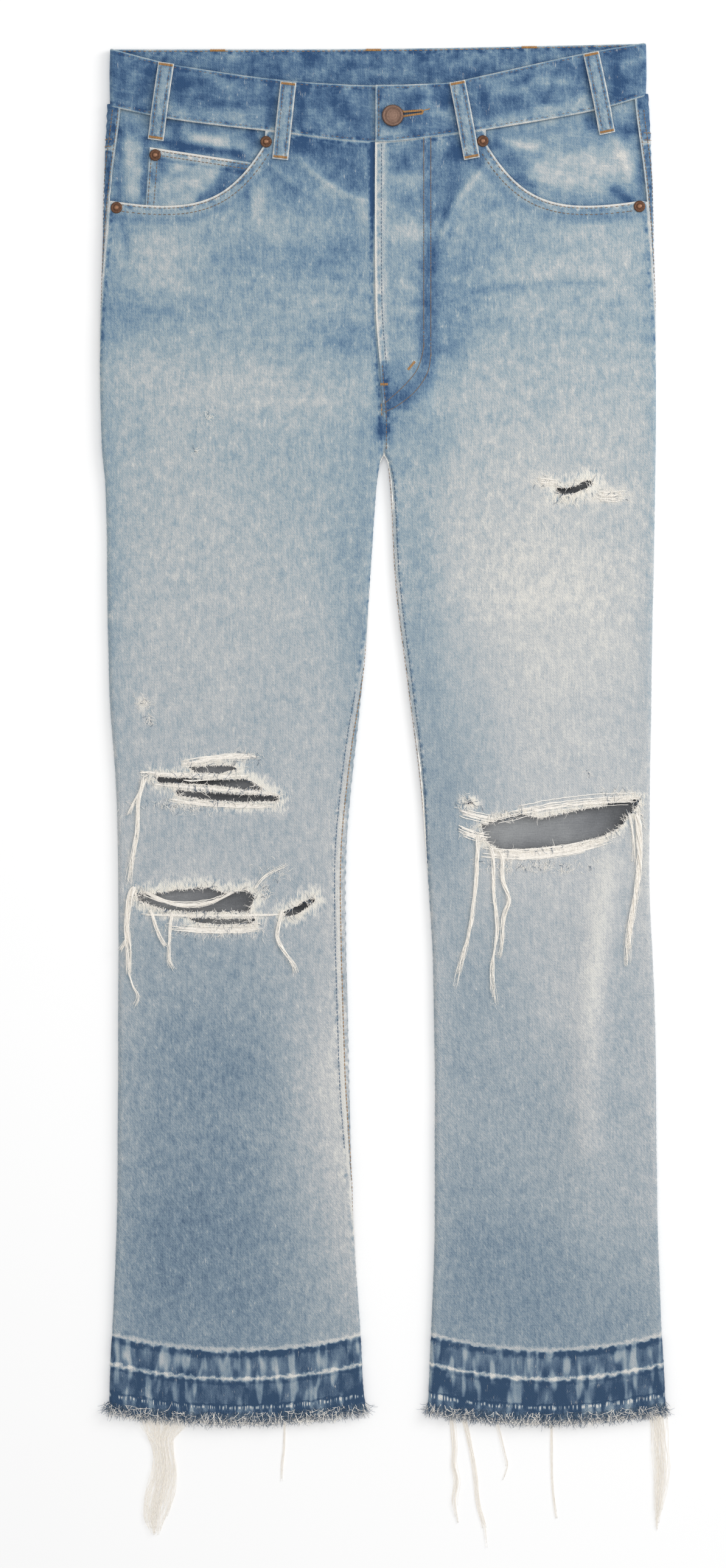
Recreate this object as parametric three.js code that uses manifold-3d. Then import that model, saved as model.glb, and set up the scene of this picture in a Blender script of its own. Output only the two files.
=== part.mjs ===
// Ripped five-pocket jeans lying flat on their back, front upwards, at real size in millimetres.
// x runs to the wearer's left, "down" runs from the waist to the hems along -y, and z rises off the surface.
// The panels are single plies that lie on each other. They turn round the edges of the legs in tight folds.
import * as THREE from 'three';
import { mergeVertices } from 'three/addons/utils/BufferGeometryUtils.js';
import Module from 'manifold-3d';

const wasm = await Module();
wasm.setup();

// Driving dimensions
const denim = 1.2; // thickness of one ply
const seamGap = 0.3; // clearance between pieces that are sewn together
const sliver = 0.05; // detail finer than this is dropped from a cut piece
const foldGap = 0.5; // the same where a seam crosses an edge fold
const bandGap = 1; // and along the waistband's lower edge
const foldRadius = 2.8; // outside of the fold at the edges of the legs
const seatLift = 1.5; // the seat lies on the back pockets and loops
const bandThickness = 2.4; // folded waistband, two plies
const bandFold = 3; // outside of the waistband's fold at the hips
const liningThickness = 0.9; // pocket facing and coin pocket
const pocketBag = 0.8; // hidden cloth of the pocket that holds the facing up
const loopWidth = 12.5;
const loopThickness = 1.4;
const loopSlack = 1.6; // how far the middle of a front loop stands off the waistband
const backLoopLength = 60;
const buttonX = 12;
const buttonDown = 55.7;
const buttonRadius = 8.3;
const rivetRadius = 4.5;
const crotchDown = 320.5;
const crotchX = 5.2;
const hemDown = 1067; // raw edge at the sides of a leg
const fringeReach = 6;

const quarterFold = (foldRadius * Math.PI) / 2;
const frontZ = seatLift + 2 * foldRadius; // top of the front ply over the seat
const bandZ = seatLift + 2 * bandFold; // top of the waistband in front
const cutterTop = 20; // cutters reach this high, above everything

// Edges of the legs: [down, x]
const rightOuter = [[0, -209], [80, -213], [230, -217], [310, -216], [345, -213], [500, -210], [575, -205],
  [650, -203], [915, -204], [1010, -208], [1075, -211]];
const rightInner = [[320, 4.9], [326, 2.4], [345, -0.5], [420, -5.7], [500, -11.5], [575, -19.5], [630, -24],
  [690, -24.3], [840, -21], [915, -19], [1010, -13], [1050, -11], [1075, -8]];
const leftInner = [[320, 5.5], [326, 8.3], [345, 10.5], [420, 14.3], [500, 24], [575, 33.8], [650, 39.5],
  [725, 43.8], [915, 44.8], [1010, 42], [1075, 39]];
const leftOuter = [[0, 209.5], [80, 214.5], [230, 218], [345, 217.6], [500, 214.8], [650, 213.3],
  [765, 217.6], [915, 219.5], [1010, 223], [1075, 226.5]];

// Seams beside an edge fold: [down, distance above its crest], negative where the seam lies underneath
const sideSeam = [[0, 13], [55, 12], [110, 7], [200, 1.5], [262, -2.5], [330, -6], [1075, -6]];
const rightInseam = [[320, 0], [345, -3], [440, -1], [550, 7], [800, 7], [850, 5], [1000, -4], [1075, -4]];
const leftInseam = [[320, 0], [345, 2], [560, 2], [700, -3], [1075, -3]];

// Waistband edges and the yoke seam: [x, down]
const bandTopFront = [[-209, 2.4], [-171, 12.4], [-156, 15.7], [-75, 27], [0, 31.2], [56, 29], [76, 25],
  [158, 7], [209, -2]];
const bandTopBack = [[-209, 2.4], [0, 2], [209, -2]];
const bandBottomFront = [[-209, 48], [-163, 57.5], [-87, 67], [0, 76], [63, 69], [80, 67], [168, 51.5],
  [209, 40]];
const bandBottomBack = [[-209, 48], [-100, 46], [0, 45], [100, 43], [209, 40]];
const yokeSide = 214;
const yokeSeam = [[-yokeSide, 81], [-100, 101], [0, 117], [100, 99], [yokeSide, 76]];

// Centre seams: [down, x]
const flyEdge = [[0, -1.4], [200, -1.4], [262, 3], [290, 5.2], [crotchDown, crotchX]];
const seatSeam = [[0, 0], [crotchDown, crotchX]];
const flyUnderlap = 12; // how far the right front runs beneath the left one
const flyEnd = 243; // down to here, and back to the seam over the taper
const flyTaper = 15;
const bandUnderlap = 28;

const legs = {
  right: { inward: 1, outer: rightOuter, inner: rightInner, inseam: rightInseam },
  left: { inward: -1, outer: leftOuter, inner: leftInner, inseam: leftInseam },
};

const washed = { light: 0xa9b8c2, mid: 0x8fa6b8, dark: 0x5f7c9c };
const denimMaterial = (color) => new THREE.MeshStandardMaterial({ color, roughness: 0.9, metalness: 0 });
const metalMaterial = (color) => new THREE.MeshStandardMaterial({ color, roughness: 0.45, metalness: 0.9 });
const threadMaterial = new THREE.MeshStandardMaterial({ color: 0xe0dad1, roughness: 1, metalness: 0 });

const { clamp, lerp, smoothstep } = THREE.MathUtils;
const bell = (t) => Math.exp(-(t ** 2));

// The right side's points, or the same ones mirrored about the fly for the left side
const mirrorX = -1.4;
const mirror = (points, side) => (
  side === 'right' ? points : points.map(([x, down]) => [2 * mirrorX - x, down])
);

// Value of the smooth line through [along, value] points
function follow(points, along) {
  const last = points.length - 1;
  const t = clamp(along, points[0][0], points[last][0]);
  let i = 0;
  while (i < last - 1 && t > points[i + 1][0]) i += 1;
  const slope = (k) => {
    const before = points[Math.max(k - 1, 0)];
    const after = points[Math.min(k + 1, last)];
    return (after[1] - before[1]) / (after[0] - before[0]);
  };
  const [start, from] = points[i];
  const [end, to] = points[i + 1];
  const span = end - start;
  const u = (t - start) / span;
  const ease = u * u * (3 - 2 * u);
  const pull = slope(i) * u * (1 - u) ** 2 - slope(i + 1) * (1 - u) * u ** 2;
  return lerp(from, to, ease) + span * pull;
}

function geometryOf(positions, indices) {
  const geometry = new THREE.BufferGeometry();
  geometry.setAttribute('position', new THREE.Float32BufferAttribute(positions, 3));
  geometry.setIndex(indices);
  return geometry;
}

function enclosedVolume(geometry) {
  const corner = geometry.attributes.position;
  const [a, b, c] = [new THREE.Vector3(), new THREE.Vector3(), new THREE.Vector3()];
  let volume = 0;
  for (let i = 0; i < geometry.index.count; i += 3) {
    a.fromBufferAttribute(corner, geometry.index.getX(i));
    b.fromBufferAttribute(corner, geometry.index.getX(i + 1));
    c.fromBufferAttribute(corner, geometry.index.getX(i + 2));
    volume += a.dot(b.cross(c)) / 6;
  }
  return volume;
}

// Closed wall under a grid of outer points { x, down, z, nx, nz }, as thick as asked, its faces turned out.
// A ring joins the last column to the first.
function clothWall(grid, thickness, ring = false) {
  const rows = grid.length;
  const columns = grid[0].length;
  const positions = [];
  for (const depth of [0, thickness]) {
    for (const row of grid) {
      for (const p of row) positions.push(p.x - depth * p.nx, -p.down, p.z - depth * p.nz);
    }
  }
  const indices = [];
  const outer = (i, j) => i * columns + (j % columns);
  const inner = (i, j) => rows * columns + outer(i, j);
  const quad = (a, b, c, d) => indices.push(a, b, c, a, c, d);
  const spans = ring ? columns : columns - 1;
  for (let j = 0; j < spans; j += 1) {
    for (let i = 0; i < rows - 1; i += 1) {
      quad(outer(i, j), outer(i + 1, j), outer(i + 1, j + 1), outer(i, j + 1));
      quad(inner(i, j), inner(i, j + 1), inner(i + 1, j + 1), inner(i + 1, j));
    }
    quad(outer(0, j), outer(0, j + 1), inner(0, j + 1), inner(0, j));
    quad(outer(rows - 1, j), inner(rows - 1, j), inner(rows - 1, j + 1), outer(rows - 1, j + 1));
  }
  if (!ring) {
    for (let i = 0; i < rows - 1; i += 1) {
      quad(outer(i, 0), inner(i, 0), inner(i + 1, 0), outer(i + 1, 0));
      const last = columns - 1;
      quad(outer(i, last), outer(i + 1, last), inner(i + 1, last), inner(i, last));
    }
  }
  const geometry = geometryOf(positions, indices);
  if (enclosedVolume(geometry) > 0) return geometry;
  return geometryOf(positions, indices.reverse());
}

// Flat piece with an outline of [x, down] points, from z = low up to z = high
function flatPiece(outline, low, high) {
  const shape = new THREE.Shape(outline.map(([x, down]) => new THREE.Vector2(x, -down)));
  const geometry = new THREE.ExtrudeGeometry(shape, { depth: high - low, bevelEnabled: false });
  return geometry.translate(0, 0, low);
}

function solidOf(geometry) {
  const bare = geometry.clone();
  bare.deleteAttribute('normal');
  bare.deleteAttribute('uv');
  const merged = mergeVertices(bare, 1e-4);
  const vertProperties = new Float32Array(merged.attributes.position.array);
  const triVerts = new Uint32Array(merged.index.array);
  return new wasm.Manifold(new wasm.Mesh({ numProp: 3, vertProperties, triVerts }));
}

function cut(geometry, cutters) {
  let solid = solidOf(geometry);
  for (const cutter of cutters) solid = solid.subtract(solidOf(cutter));
  const { vertProperties, triVerts } = solid.simplify(sliver).getMesh();
  return geometryOf(Array.from(vertProperties), Array.from(triVerts));
}

const jeans = new THREE.Group();

function add(name, geometry, material) {
  const mesh = new THREE.Mesh(geometry, material);
  mesh.name = name;
  jeans.add(mesh);
  return mesh;
}

// Panels

const seatLow = 300; // the lift of the seat ends below the back pockets
const seatEnd = 380;
const liftAt = (down) => seatLift * (1 - smoothstep(down, seatLow, seatEnd));

// Point on a leg's section, "along" its surface from the crest of an edge fold: above it when positive
function onFold(edge, inward, lift, along, radius = foldRadius) {
  const turn = clamp(along / radius, -Math.PI / 2, Math.PI / 2);
  const flat = Math.max(Math.abs(along) - (radius * Math.PI) / 2, 0);
  return {
    x: edge + inward * (radius * (1 - Math.cos(turn)) + flat),
    z: lift + radius * (1 + Math.sin(turn)),
    nx: -inward * Math.cos(turn),
    nz: Math.sin(turn),
    front: (1 + Math.sin(turn)) / 2,
  };
}

// The largest soft folds of the front: a ridge below the torn left knee, and the pull from the crotch
const ridge = {
  height: 2.2, width: 24, top: 640, full: 700, fade: 820, end: 1000,
  upperX: 185, lowerX: 165, turn: 620, turned: 760,
};
const pull = { height: 0.9, width: 22, down: 345, slant: 0.35, reach: 60, length: 35 };
function frontRelief(x, down) {
  const ridgeX = lerp(ridge.upperX, ridge.lowerX, smoothstep(down, ridge.turn, ridge.turned));
  const alongRidge = smoothstep(down, ridge.top, ridge.full) * (1 - smoothstep(down, ridge.fade, ridge.end));
  const fromCrotch = Math.abs(x - crotchX);
  const acrossPull = bell((down - pull.down - pull.slant * fromCrotch) / pull.width);
  return ridge.height * bell((x - ridgeX) / ridge.width) * alongRidge
    + pull.height * acrossPull * bell((fromCrotch - pull.reach) / pull.length);
}

const flyStart = 28; // the left front lies on the right one from the fly edge to here
const flyStop = 54;
const flyRaise = (x) => 1 - smoothstep(x, flyStart, flyStop);
const flyPlyLift = denim + seamGap;
const flyLiftFade = 280; // the lift ends between here and the next
const flyLiftEnd = 300;

// How far the middle of a leg hangs below its sides near the hem
const sag = { start: 940, full: 1010, deep: 12, hemStart: 1045, hemDeep: 8 };
function smile(leg, x, down) {
  const outer = follow(leg.outer, down);
  const inner = follow(leg.inner, down);
  const across = clamp((x - outer) / (inner - outer), 0, 1);
  const deep = lerp(sag.deep, sag.hemDeep, smoothstep(down, sag.hemStart, hemDown));
  return deep * smoothstep(down, sag.start, sag.full) * 4 * across * (1 - across);
}

const topEnd = 200; // the rows above here follow the seam over the panel
const lowerRows = [225, 250, 280, 305, crotchDown, 333, 352, 390, 440, 480, 520, 560, 610, 660, 720, 790, 850,
  885, 920, 955, 985, 1012, 1040, hemDown];
const flatColumns = 6;
const foldColumns = 3;
const foldReach = quarterFold + 2; // the columns of a fold run on to here past its crest
const seamReach = 5; // and at least this far past a seam

// One row of outer points of a ply. side is 1 for the front and -1 for the back.
function plyRow(leg, side, down, centreX) {
  const lift = liftAt(down);
  const gap = (side * foldGap) / 2;
  const reach = (seam) => side * Math.max(foldReach, side * seam + seamReach);
  const outerX = follow(leg.outer, down);
  const outerSeam = follow(sideSeam, down) + gap;
  const row = [];
  for (let k = 0; k <= foldColumns; k += 1) {
    row.push(onFold(outerX, leg.inward, lift, lerp(outerSeam, reach(outerSeam), k / foldColumns)));
  }
  const ends = [];
  for (let k = 0; k <= foldColumns; k += 1) {
    if (down < crotchDown) {
      const inset = lerp(foldReach, seamGap / 2, k / foldColumns);
      const level = side > 0 ? lift + 2 * foldRadius : lift;
      ends.push({ x: centreX - leg.inward * inset, z: level, nx: 0, nz: side, front: (1 + side) / 2 });
    } else {
      const innerX = follow(leg.inner, down);
      const innerSeam = follow(leg.inseam, down) + gap;
      ends.push(onFold(innerX, -leg.inward, lift, lerp(reach(innerSeam), innerSeam, k / foldColumns)));
    }
  }
  const from = row[foldColumns];
  const to = ends[0];
  for (let k = 1; k < flatColumns; k += 1) {
    row.push({ ...from, x: lerp(from.x, to.x, k / flatColumns) });
  }
  return row.concat(ends);
}

// Lines across the garment: their down at x, where front is 0 on the back, 1 on the front, between on a fold
const bandBottom = (x, front) => lerp(follow(bandBottomBack, x), follow(bandBottomFront, x), front);
const bandTop = (x, front) => lerp(follow(bandTopBack, x), follow(bandTopFront, x), front);
const yokeLine = (x, front) => lerp(follow(yokeSeam, x), follow(yokeSeam, yokeSide * Math.sign(x)), front);
const below = (line, gap) => (x, front) => line(x, front) + gap;
const between = (upper, lower, parts) => parts.map((part) => (
  (x, front) => lerp(upper(x, front), lower(x, front), part)
));
const upperLines = between(below(yokeLine, seamGap), () => topEnd, [0, 0.25, 0.5, 0.75, 1]);

// Rows of a ply along lines across it, then at the downs given
const hipDown = 60;
function plyGrid(leg, side, centreAt, lines, downs) {
  const edgeX = follow(leg.outer, hipDown);
  const onSide = side > 0 ? 1 : 0;
  const rows = lines.map((line) => (
    plyRow(leg, side, line(edgeX, onSide), centreAt(line(-leg.inward, onSide)))
      .map((p) => ({ ...p, down: line(p.x, p.front) }))
  ));
  for (const down of downs) {
    const row = plyRow(leg, side, down, centreAt(down));
    rows.push(row.map((p) => ({ ...p, down: down + smile(leg, p.x, down) })));
  }
  return rows;
}

// Scooped pocket mouth of the right front; the left one is its mirror image about the fly.
const scoopCurve = new THREE.CubicBezierCurve(
  new THREE.Vector2(-88, 77),
  new THREE.Vector2(-116.5, 123.5),
  new THREE.Vector2(-142, 131.5),
  new THREE.Vector2(-206, 122),
);
const scoopHip = [-235, 116]; // clear of the hip
const scoopTop = 20; // clear of the waistband seam
const scoopSteps = 12;
function scoopCutter(side) {
  const curve = scoopCurve.getPoints(scoopSteps).map((p) => [p.x, p.y]);
  const outline = [...curve, scoopHip, [scoopHip[0], scoopTop], [curve[0][0], scoopTop]];
  return flatPiece(mirror(outline, side), seatLift + foldRadius, cutterTop);
}

// Rips: outlines of [x, down]
const rips = {
  right: [
    [[-148, 564.5], [-131, 565.5], [-114, 565], [-124, 569], [-143, 569]],
    [[-174, 573.5], [-154, 574.5], [-128, 573.5], [-102, 575], [-89.5, 582], [-106, 579.5], [-128, 579],
      [-154, 577.5], [-170, 577.5]],
    [[-157.5, 583.5], [-133, 585], [-105, 586.5], [-77, 588.5], [-78, 591], [-105, 590], [-133, 588.5],
      [-156, 586]],
    [[-189, 663], [-174, 663], [-156, 660], [-133, 658], [-117.5, 663], [-102.5, 660], [-95, 665.5],
      [-98, 672], [-99.5, 678], [-148, 678], [-170.5, 675.5], [-187, 669]],
    [[-149, 682], [-120, 683], [-95, 682.5], [-97, 687], [-122, 688], [-142, 686]],
    [[-71.5, 670], [-61, 669.5], [-50.5, 673], [-56, 678], [-67, 677]],
  ],
  left: [
    [[81.5, 609], [97, 604], [112, 600.5], [128.5, 604], [144, 600.5], [173, 594.5], [188, 591], [206, 589],
      [203, 596], [188, 613.5], [173, 620.5], [150, 626], [112, 630], [97, 630], [83, 622]],
    [[69.5, 591.5], [74, 591], [76, 593.5], [71, 594]],
    [[141.5, 346], [153.5, 348], [158, 345], [166, 341], [165, 345], [157.5, 350], [148, 350.5]],
  ],
};
const ripFloor = denim + 1; // a rip goes through the front ply only
const ripCutters = (side) => rips[side].map((outline) => flatPiece(outline, ripFloor, cutterTop));

for (const side of ['right', 'left']) {
  const leg = legs[side];
  const onLeft = side === 'left';
  const frontCentre = (down) => {
    const underlap = onLeft ? 0 : flyUnderlap * (1 - smoothstep(down, flyEnd, flyEnd + flyTaper));
    return follow(flyEdge, down) + underlap;
  };
  const frontTop = between(below(bandBottom, bandGap), yokeLine, [0, 0.5]);
  const front = plyGrid(leg, 1, frontCentre, [...frontTop, ...upperLines], lowerRows);
  for (const p of front.flat()) {
    if (p.front < 1) continue;
    p.z += frontRelief(p.x, p.down);
    if (onLeft) p.z += flyPlyLift * flyRaise(p.x) * (1 - smoothstep(p.down, flyLiftFade, flyLiftEnd));
  }
  const frontGeometry = cut(clothWall(front, denim), [scoopCutter(side), ...ripCutters(side)]);
  add(`front_panel_${side}`, frontGeometry, denimMaterial(washed.light));

  const seatCentre = (down) => follow(seatSeam, down);
  const back = plyGrid(leg, -1, seatCentre, upperLines, lowerRows);
  add(`back_panel_${side}`, clothWall(back, denim), denimMaterial(washed.mid));
  const yokeRows = between(below(bandBottom, bandGap), yokeLine, [0, 0.5, 1]);
  const yoke = plyGrid(leg, -1, seatCentre, yokeRows, []);
  add(`yoke_${side}`, clothWall(yoke, denim), denimMaterial(washed.mid));

  const hem = plyRow(leg, 1, hemDown, 0).concat(plyRow(leg, -1, hemDown, 0).reverse());
  const fringe = [seamGap, fringeReach].map((beyond) => hem.map((p) => (
    { ...p, down: hemDown + beyond + smile(leg, p.x, hemDown) }
  )));
  add(`hem_fringe_${side}`, clothWall(fringe, denim, true), threadMaterial);
}

// Waistband: one strip from the underlap on the right, round the back, to the fly edge on the left

const bandUnder = -0.4; // the right end dips beneath the left end
const bandOver = 2.4;
const bandHips = { right: -209.5, left: 210.5 };
const bandPoints = [];
const bandFlat = (x, z, side) => bandPoints.push({ x, z, nx: 0, nz: side, front: side > 0 ? 1 : 0 });
const endX = mirrorX;
const dipStart = endX - 30;
const dipEnd = endX - 10;
for (const x of [endX + bandUnderlap, endX + 8, dipEnd, dipStart, -60, -87, -110, -135, -163, -185]) {
  bandFlat(x, bandZ + bandUnder * smoothstep(x, dipStart, dipEnd), 1);
}
const foldSteps = 5;
for (let k = 0; k <= foldSteps; k += 1) {
  const along = lerp(bandFold * 2, -bandFold * 2, k / foldSteps);
  bandPoints.push(onFold(bandHips.right, 1, seatLift, along, bandFold));
}
for (const x of [-150, -100, -50, 0, 50, 100, 150]) bandFlat(x, seatLift, -1);
for (let k = 0; k <= foldSteps; k += 1) {
  const along = lerp(-bandFold * 2, bandFold * 2, k / foldSteps);
  bandPoints.push(onFold(bandHips.left, -1, seatLift, along, bandFold));
}
for (const x of [185, 168, 140, 115, 95, 80, 63, 50, 40, 30, 15, endX]) {
  bandFlat(x, bandZ + bandOver * flyRaise(x), 1);
}
const band = [bandTop, bandBottom].map((edge) => bandPoints.map((p) => ({ ...p, down: edge(p.x, p.front) })));

// Keyhole buttonhole through the left end only
const holeRadius = 3.2;
const holeSteps = 16;
const slotHalf = 0.8;
const slotEnd = 35.5;
const slotDown = buttonDown - 3.2; // the slot climbs with the waistband
const keyhole = [];
for (let k = 0; k <= holeSteps; k += 1) {
  const turn = lerp(0.08, 0.92, k / holeSteps) * 2 * Math.PI;
  keyhole.push([buttonX + holeRadius * Math.cos(turn), buttonDown + holeRadius * Math.sin(turn)]);
}
keyhole.push([slotEnd, slotDown - slotHalf], [slotEnd, slotDown + slotHalf]);
const bandCutter = flatPiece(keyhole, bandZ + bandUnder + seamGap / 2, cutterTop);
add('waistband', cut(clothWall(band, bandThickness), [bandCutter]), denimMaterial(washed.dark));

// Belt loops: [x, down] of the ends, and the z of the cloth beneath the lower end

const facingTop = seatLift + denim + pocketBag + liningThickness;
const frontLoops = {
  belt_loop_front_right_outer: { top: [-165, 14.5], end: [-173.5, 73.5], under: facingTop },
  belt_loop_front_right_inner: { top: [-69.5, 29.5], end: [-76, 89], under: frontZ },
  belt_loop_front_left_inner: { top: [62.5, 29], end: [74, 88.5], under: frontZ },
  belt_loop_front_left_outer: { top: [167, 6.5], end: [180, 68.5], under: facingTop },
};
for (const [name, { top, end, under }] of Object.entries(frontLoops)) {
  const run = new THREE.Vector2(end[0] - top[0], end[1] - top[1]);
  const across = new THREE.Vector2(run.y, -run.x).normalize().multiplyScalar(loopWidth / 2);
  const onBand = bandZ + seamGap + loopThickness;
  const onPanel = under + seamGap + loopThickness;
  const profile = [[0, onBand], [0.1, onBand], [0.28, onBand + loopSlack], [0.52, onBand + loopSlack],
    [0.77, onBand], [0.88, onPanel], [1, onPanel]];
  const grid = [-1, 1].map((edge) => profile.map(([part, z]) => {
    const place = run.clone().multiplyScalar(part).addScaledVector(across, edge);
    return { x: top[0] + place.x, down: top[1] + place.y, z, nx: 0, nz: 1 };
  }));
  add(name, clothWall(grid, loopThickness), denimMaterial(washed.mid));
}

const backLoops = { belt_loop_back_right: -125, belt_loop_back_centre: -3, belt_loop_back_left: 119 };
for (const [name, x] of Object.entries(backLoops)) {
  const [left, right] = [x - loopWidth / 2, x + loopWidth / 2];
  const outline = [[left, 0], [right, 0], [right, backLoopLength], [left, backLoopLength]];
  add(name, flatPiece(outline, 0, denim), denimMaterial(washed.mid));
}

// Pocket facings, coin pocket and back pockets

const facingUpper = [-206, -190, -163, -130, -100, -78].map((x) => [x, 0]); // these follow the waistband
const facingLower = [[-80, 100], [-100, 128], [-125, 143], [-165, 150], [-209, 145]];
for (const side of ['right', 'left']) {
  const upper = mirror(facingUpper, side).map(([x]) => [x, bandBottom(x, 1) + seamGap]);
  const outline = [...upper, ...mirror(facingLower, side)];
  const facing = flatPiece(outline, facingTop - liningThickness, facingTop);
  add(`pocket_facing_${side}`, facing, denimMaterial(washed.light));
}

const coinBottom = facingTop + seamGap;
const coinTop = coinBottom + liningThickness;
const coinPocket = [[-178, 79.5], [-99, 91.5], [-103, 110], [-113, 137], [-182, 137]];
add('coin_pocket', flatPiece(coinPocket, coinBottom, coinTop), denimMaterial(washed.light));

const backPocket = [[-182, 146], [-33, 134], [-39, 262], [-104, 293], [-170, 272]];
for (const side of ['right', 'left']) {
  add(`back_pocket_${side}`, flatPiece(mirror(backPocket, side), 0, denim), denimMaterial(washed.mid));
}

// Button and rivets, turned about z

function turned(profile, segments) {
  const points = profile.map(([radius, z]) => new THREE.Vector2(radius, z));
  return new THREE.LatheGeometry(points, segments).rotateX(Math.PI / 2);
}

const shankFoot = bandZ + bandUnder + seamGap;
const capFoot = bandZ + bandOver + seamGap;
const buttonProfile = [[0, shankFoot], [2.6, shankFoot], [2.6, capFoot], [buttonRadius - 0.6, capFoot],
  [buttonRadius, capFoot + 0.8], [buttonRadius - 0.5, capFoot + 2], [buttonRadius - 1.5, capFoot + 2.5],
  [buttonRadius - 2.4, capFoot + 2.1], [2, capFoot + 1.9], [0, capFoot + 2.4]];
const button = add('waist_button', turned(buttonProfile, 24), metalMaterial(0x846e62));
button.position.set(buttonX, -buttonDown, 0);

const rivetProfile = [[0, 0], [rivetRadius, 0], [rivetRadius - 0.3, 0.9], [2.4, 1.3], [1.6, 1.9], [0, 1.9]];
const rivets = {
  rivet_right_inner: [-87, 75.5, frontZ],
  rivet_right_outer: [-204, 127, frontZ],
  rivet_left_inner: [82.5, 75, frontZ],
  rivet_left_outer: [205, 126, frontZ],
  rivet_coin_pocket: [-173.8, 85.7, coinTop],
};
for (const [name, [x, down, z]] of Object.entries(rivets)) {
  const rivet = add(name, turned(rivetProfile, 14), metalMaterial(0x6b5040));
  rivet.position.set(x, -down, z + seamGap);
}

// Hanks of pulled threads: centre lines of [x, down, width], each starting at the fringe below a hem

const hankThickness = 2.6;
const hanks = {
  thread_hank_right_big: [[-173.5, 1082, 16], [-168, 1098, 13], [-170, 1111, 18], [-173.5, 1126, 20],
    [-175.5, 1140, 17], [-176, 1153, 10], [-172, 1165.5, 3]],
  thread_hank_right_small: [[-72.5, 1086, 4], [-73, 1098, 4], [-74.5, 1110, 4], [-75, 1124.5, 3]],
  thread_hank_left_first: [[58.5, 1082, 5], [61, 1096, 6], [60.5, 1110, 6], [63, 1124, 7], [61, 1140, 6],
    [64, 1158.5, 3]],
  thread_hank_left_second: [[68, 1086, 5], [74.5, 1102, 5], [77, 1120, 5], [79.5, 1142, 5], [84, 1158, 5],
    [86, 1176.5, 2.5]],
  thread_hank_left_third: [[93, 1088, 3], [100, 1103, 3], [101.5, 1112, 3], [98, 1123.5, 2.5]],
  thread_hank_left_fourth: [[137, 1088, 4], [137, 1114, 4], [138.5, 1138, 4], [141.5, 1158, 2.5]],
  thread_hank_left_big: [[221.5, 1076, 10], [223.5, 1098, 12], [223, 1120, 12], [222, 1142, 9],
    [220.5, 1165.5, 3]],
};
for (const [name, points] of Object.entries(hanks)) {
  const leg = name.includes('right') ? legs.right : legs.left;
  const edge = (sign) => points.map(([centreX, down, width], k) => {
    const x = centreX + (sign * width) / 2;
    const fringeEnd = hemDown + fringeReach + smile(leg, x, hemDown);
    return [x, k === 0 ? fringeEnd + foldGap : down];
  });
  add(name, flatPiece([...edge(-1), ...edge(1).reverse()], 0, hankThickness), threadMaterial);
}

// The origin is at the middle of the bounding box's underside.
const box = new THREE.Box3().setFromObject(jeans);
const centre = box.getCenter(new THREE.Vector3());
jeans.position.set(-centre.x, -centre.y, -box.min.z);

export default jeans;
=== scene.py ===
import bpy
import math
import random
from mathutils import Matrix, Vector, geometry, noise


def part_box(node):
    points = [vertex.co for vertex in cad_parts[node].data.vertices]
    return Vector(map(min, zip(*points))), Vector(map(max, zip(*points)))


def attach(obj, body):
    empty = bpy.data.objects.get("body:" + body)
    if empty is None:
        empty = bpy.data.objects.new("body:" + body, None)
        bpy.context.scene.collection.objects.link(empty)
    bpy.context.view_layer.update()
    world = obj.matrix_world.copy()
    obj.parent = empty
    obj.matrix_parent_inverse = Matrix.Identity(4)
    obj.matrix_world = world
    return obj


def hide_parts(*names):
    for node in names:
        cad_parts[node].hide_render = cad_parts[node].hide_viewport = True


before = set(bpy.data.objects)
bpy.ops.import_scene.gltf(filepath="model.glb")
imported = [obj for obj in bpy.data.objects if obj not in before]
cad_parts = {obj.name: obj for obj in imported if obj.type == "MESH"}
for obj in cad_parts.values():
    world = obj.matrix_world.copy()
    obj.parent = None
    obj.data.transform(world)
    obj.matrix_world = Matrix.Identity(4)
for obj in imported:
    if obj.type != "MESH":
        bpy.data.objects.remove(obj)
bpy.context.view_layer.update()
bpy.ops.object.select_all(action="DESELECT")

# Garment coordinates are in millimetres: x to the wearer's left, down from the waist, z up off the floor.
# A "side" is one of the legs. A "face" is 1 for the front ply and -1 for the back one.
garment = {
    "buttonX": 12.0,  # the waist button ties these coordinates to the frame
    "buttonDown": 55.7,
    "fold": 2.8,  # outside radius of the folds at the edges
    "seatLift": 1.5,  # the seat lies on the back pockets and loops
    "seatLow": 300.0,
    "seatEnd": 380.0,
    "crotch": 320.5,
    "joinStart": 304.0,  # from here to the crotch the flat centre edges turn into the inner folds
    "hem": 1067.0,
    "ply": 1.0,
    "mirrorX": -1.4,  # the two pocket mouths mirror about the fly edge
}
buttonLow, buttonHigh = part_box("waist_button")
originX = (buttonLow[0] + buttonHigh[0]) * 500 - garment["buttonX"]
originY = (buttonLow[1] + buttonHigh[1]) * 500 + garment["buttonDown"]
fold = garment["fold"]


def toWorld(x, down, z):
    return Vector(((x + originX) / 1000, (originY - down) / 1000, z / 1000))


# Camera, floor and lights
studio = {
    "view": (-11.2, 577.6, 2902.0),  # where the camera hangs, straight above the garment
    "lens": 85.0,
    "sensor": 36.0,
    "floor": 6.0,  # metres across
    "floorLevel": -0.2,  # millimetres
    "paper": {"Base Color": (0.97, 0.97, 0.97, 1), "Roughness": 0.95, "Emission Color": (1, 1, 1, 1),
              "Emission Strength": 0.07, "Specular IOR Level": 0.0},
    "world": 0.62,
    "lamps": [  # x, y and z in metres, size, watts
        {"name": "softbox_above", "at": (0.2, 0.3, 2.2), "size": 2.6, "power": 16.0},
        {"name": "key_right", "at": (1.5, 0.9, 1.1), "size": 0.9, "power": 15.0},
    ],
}


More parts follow.
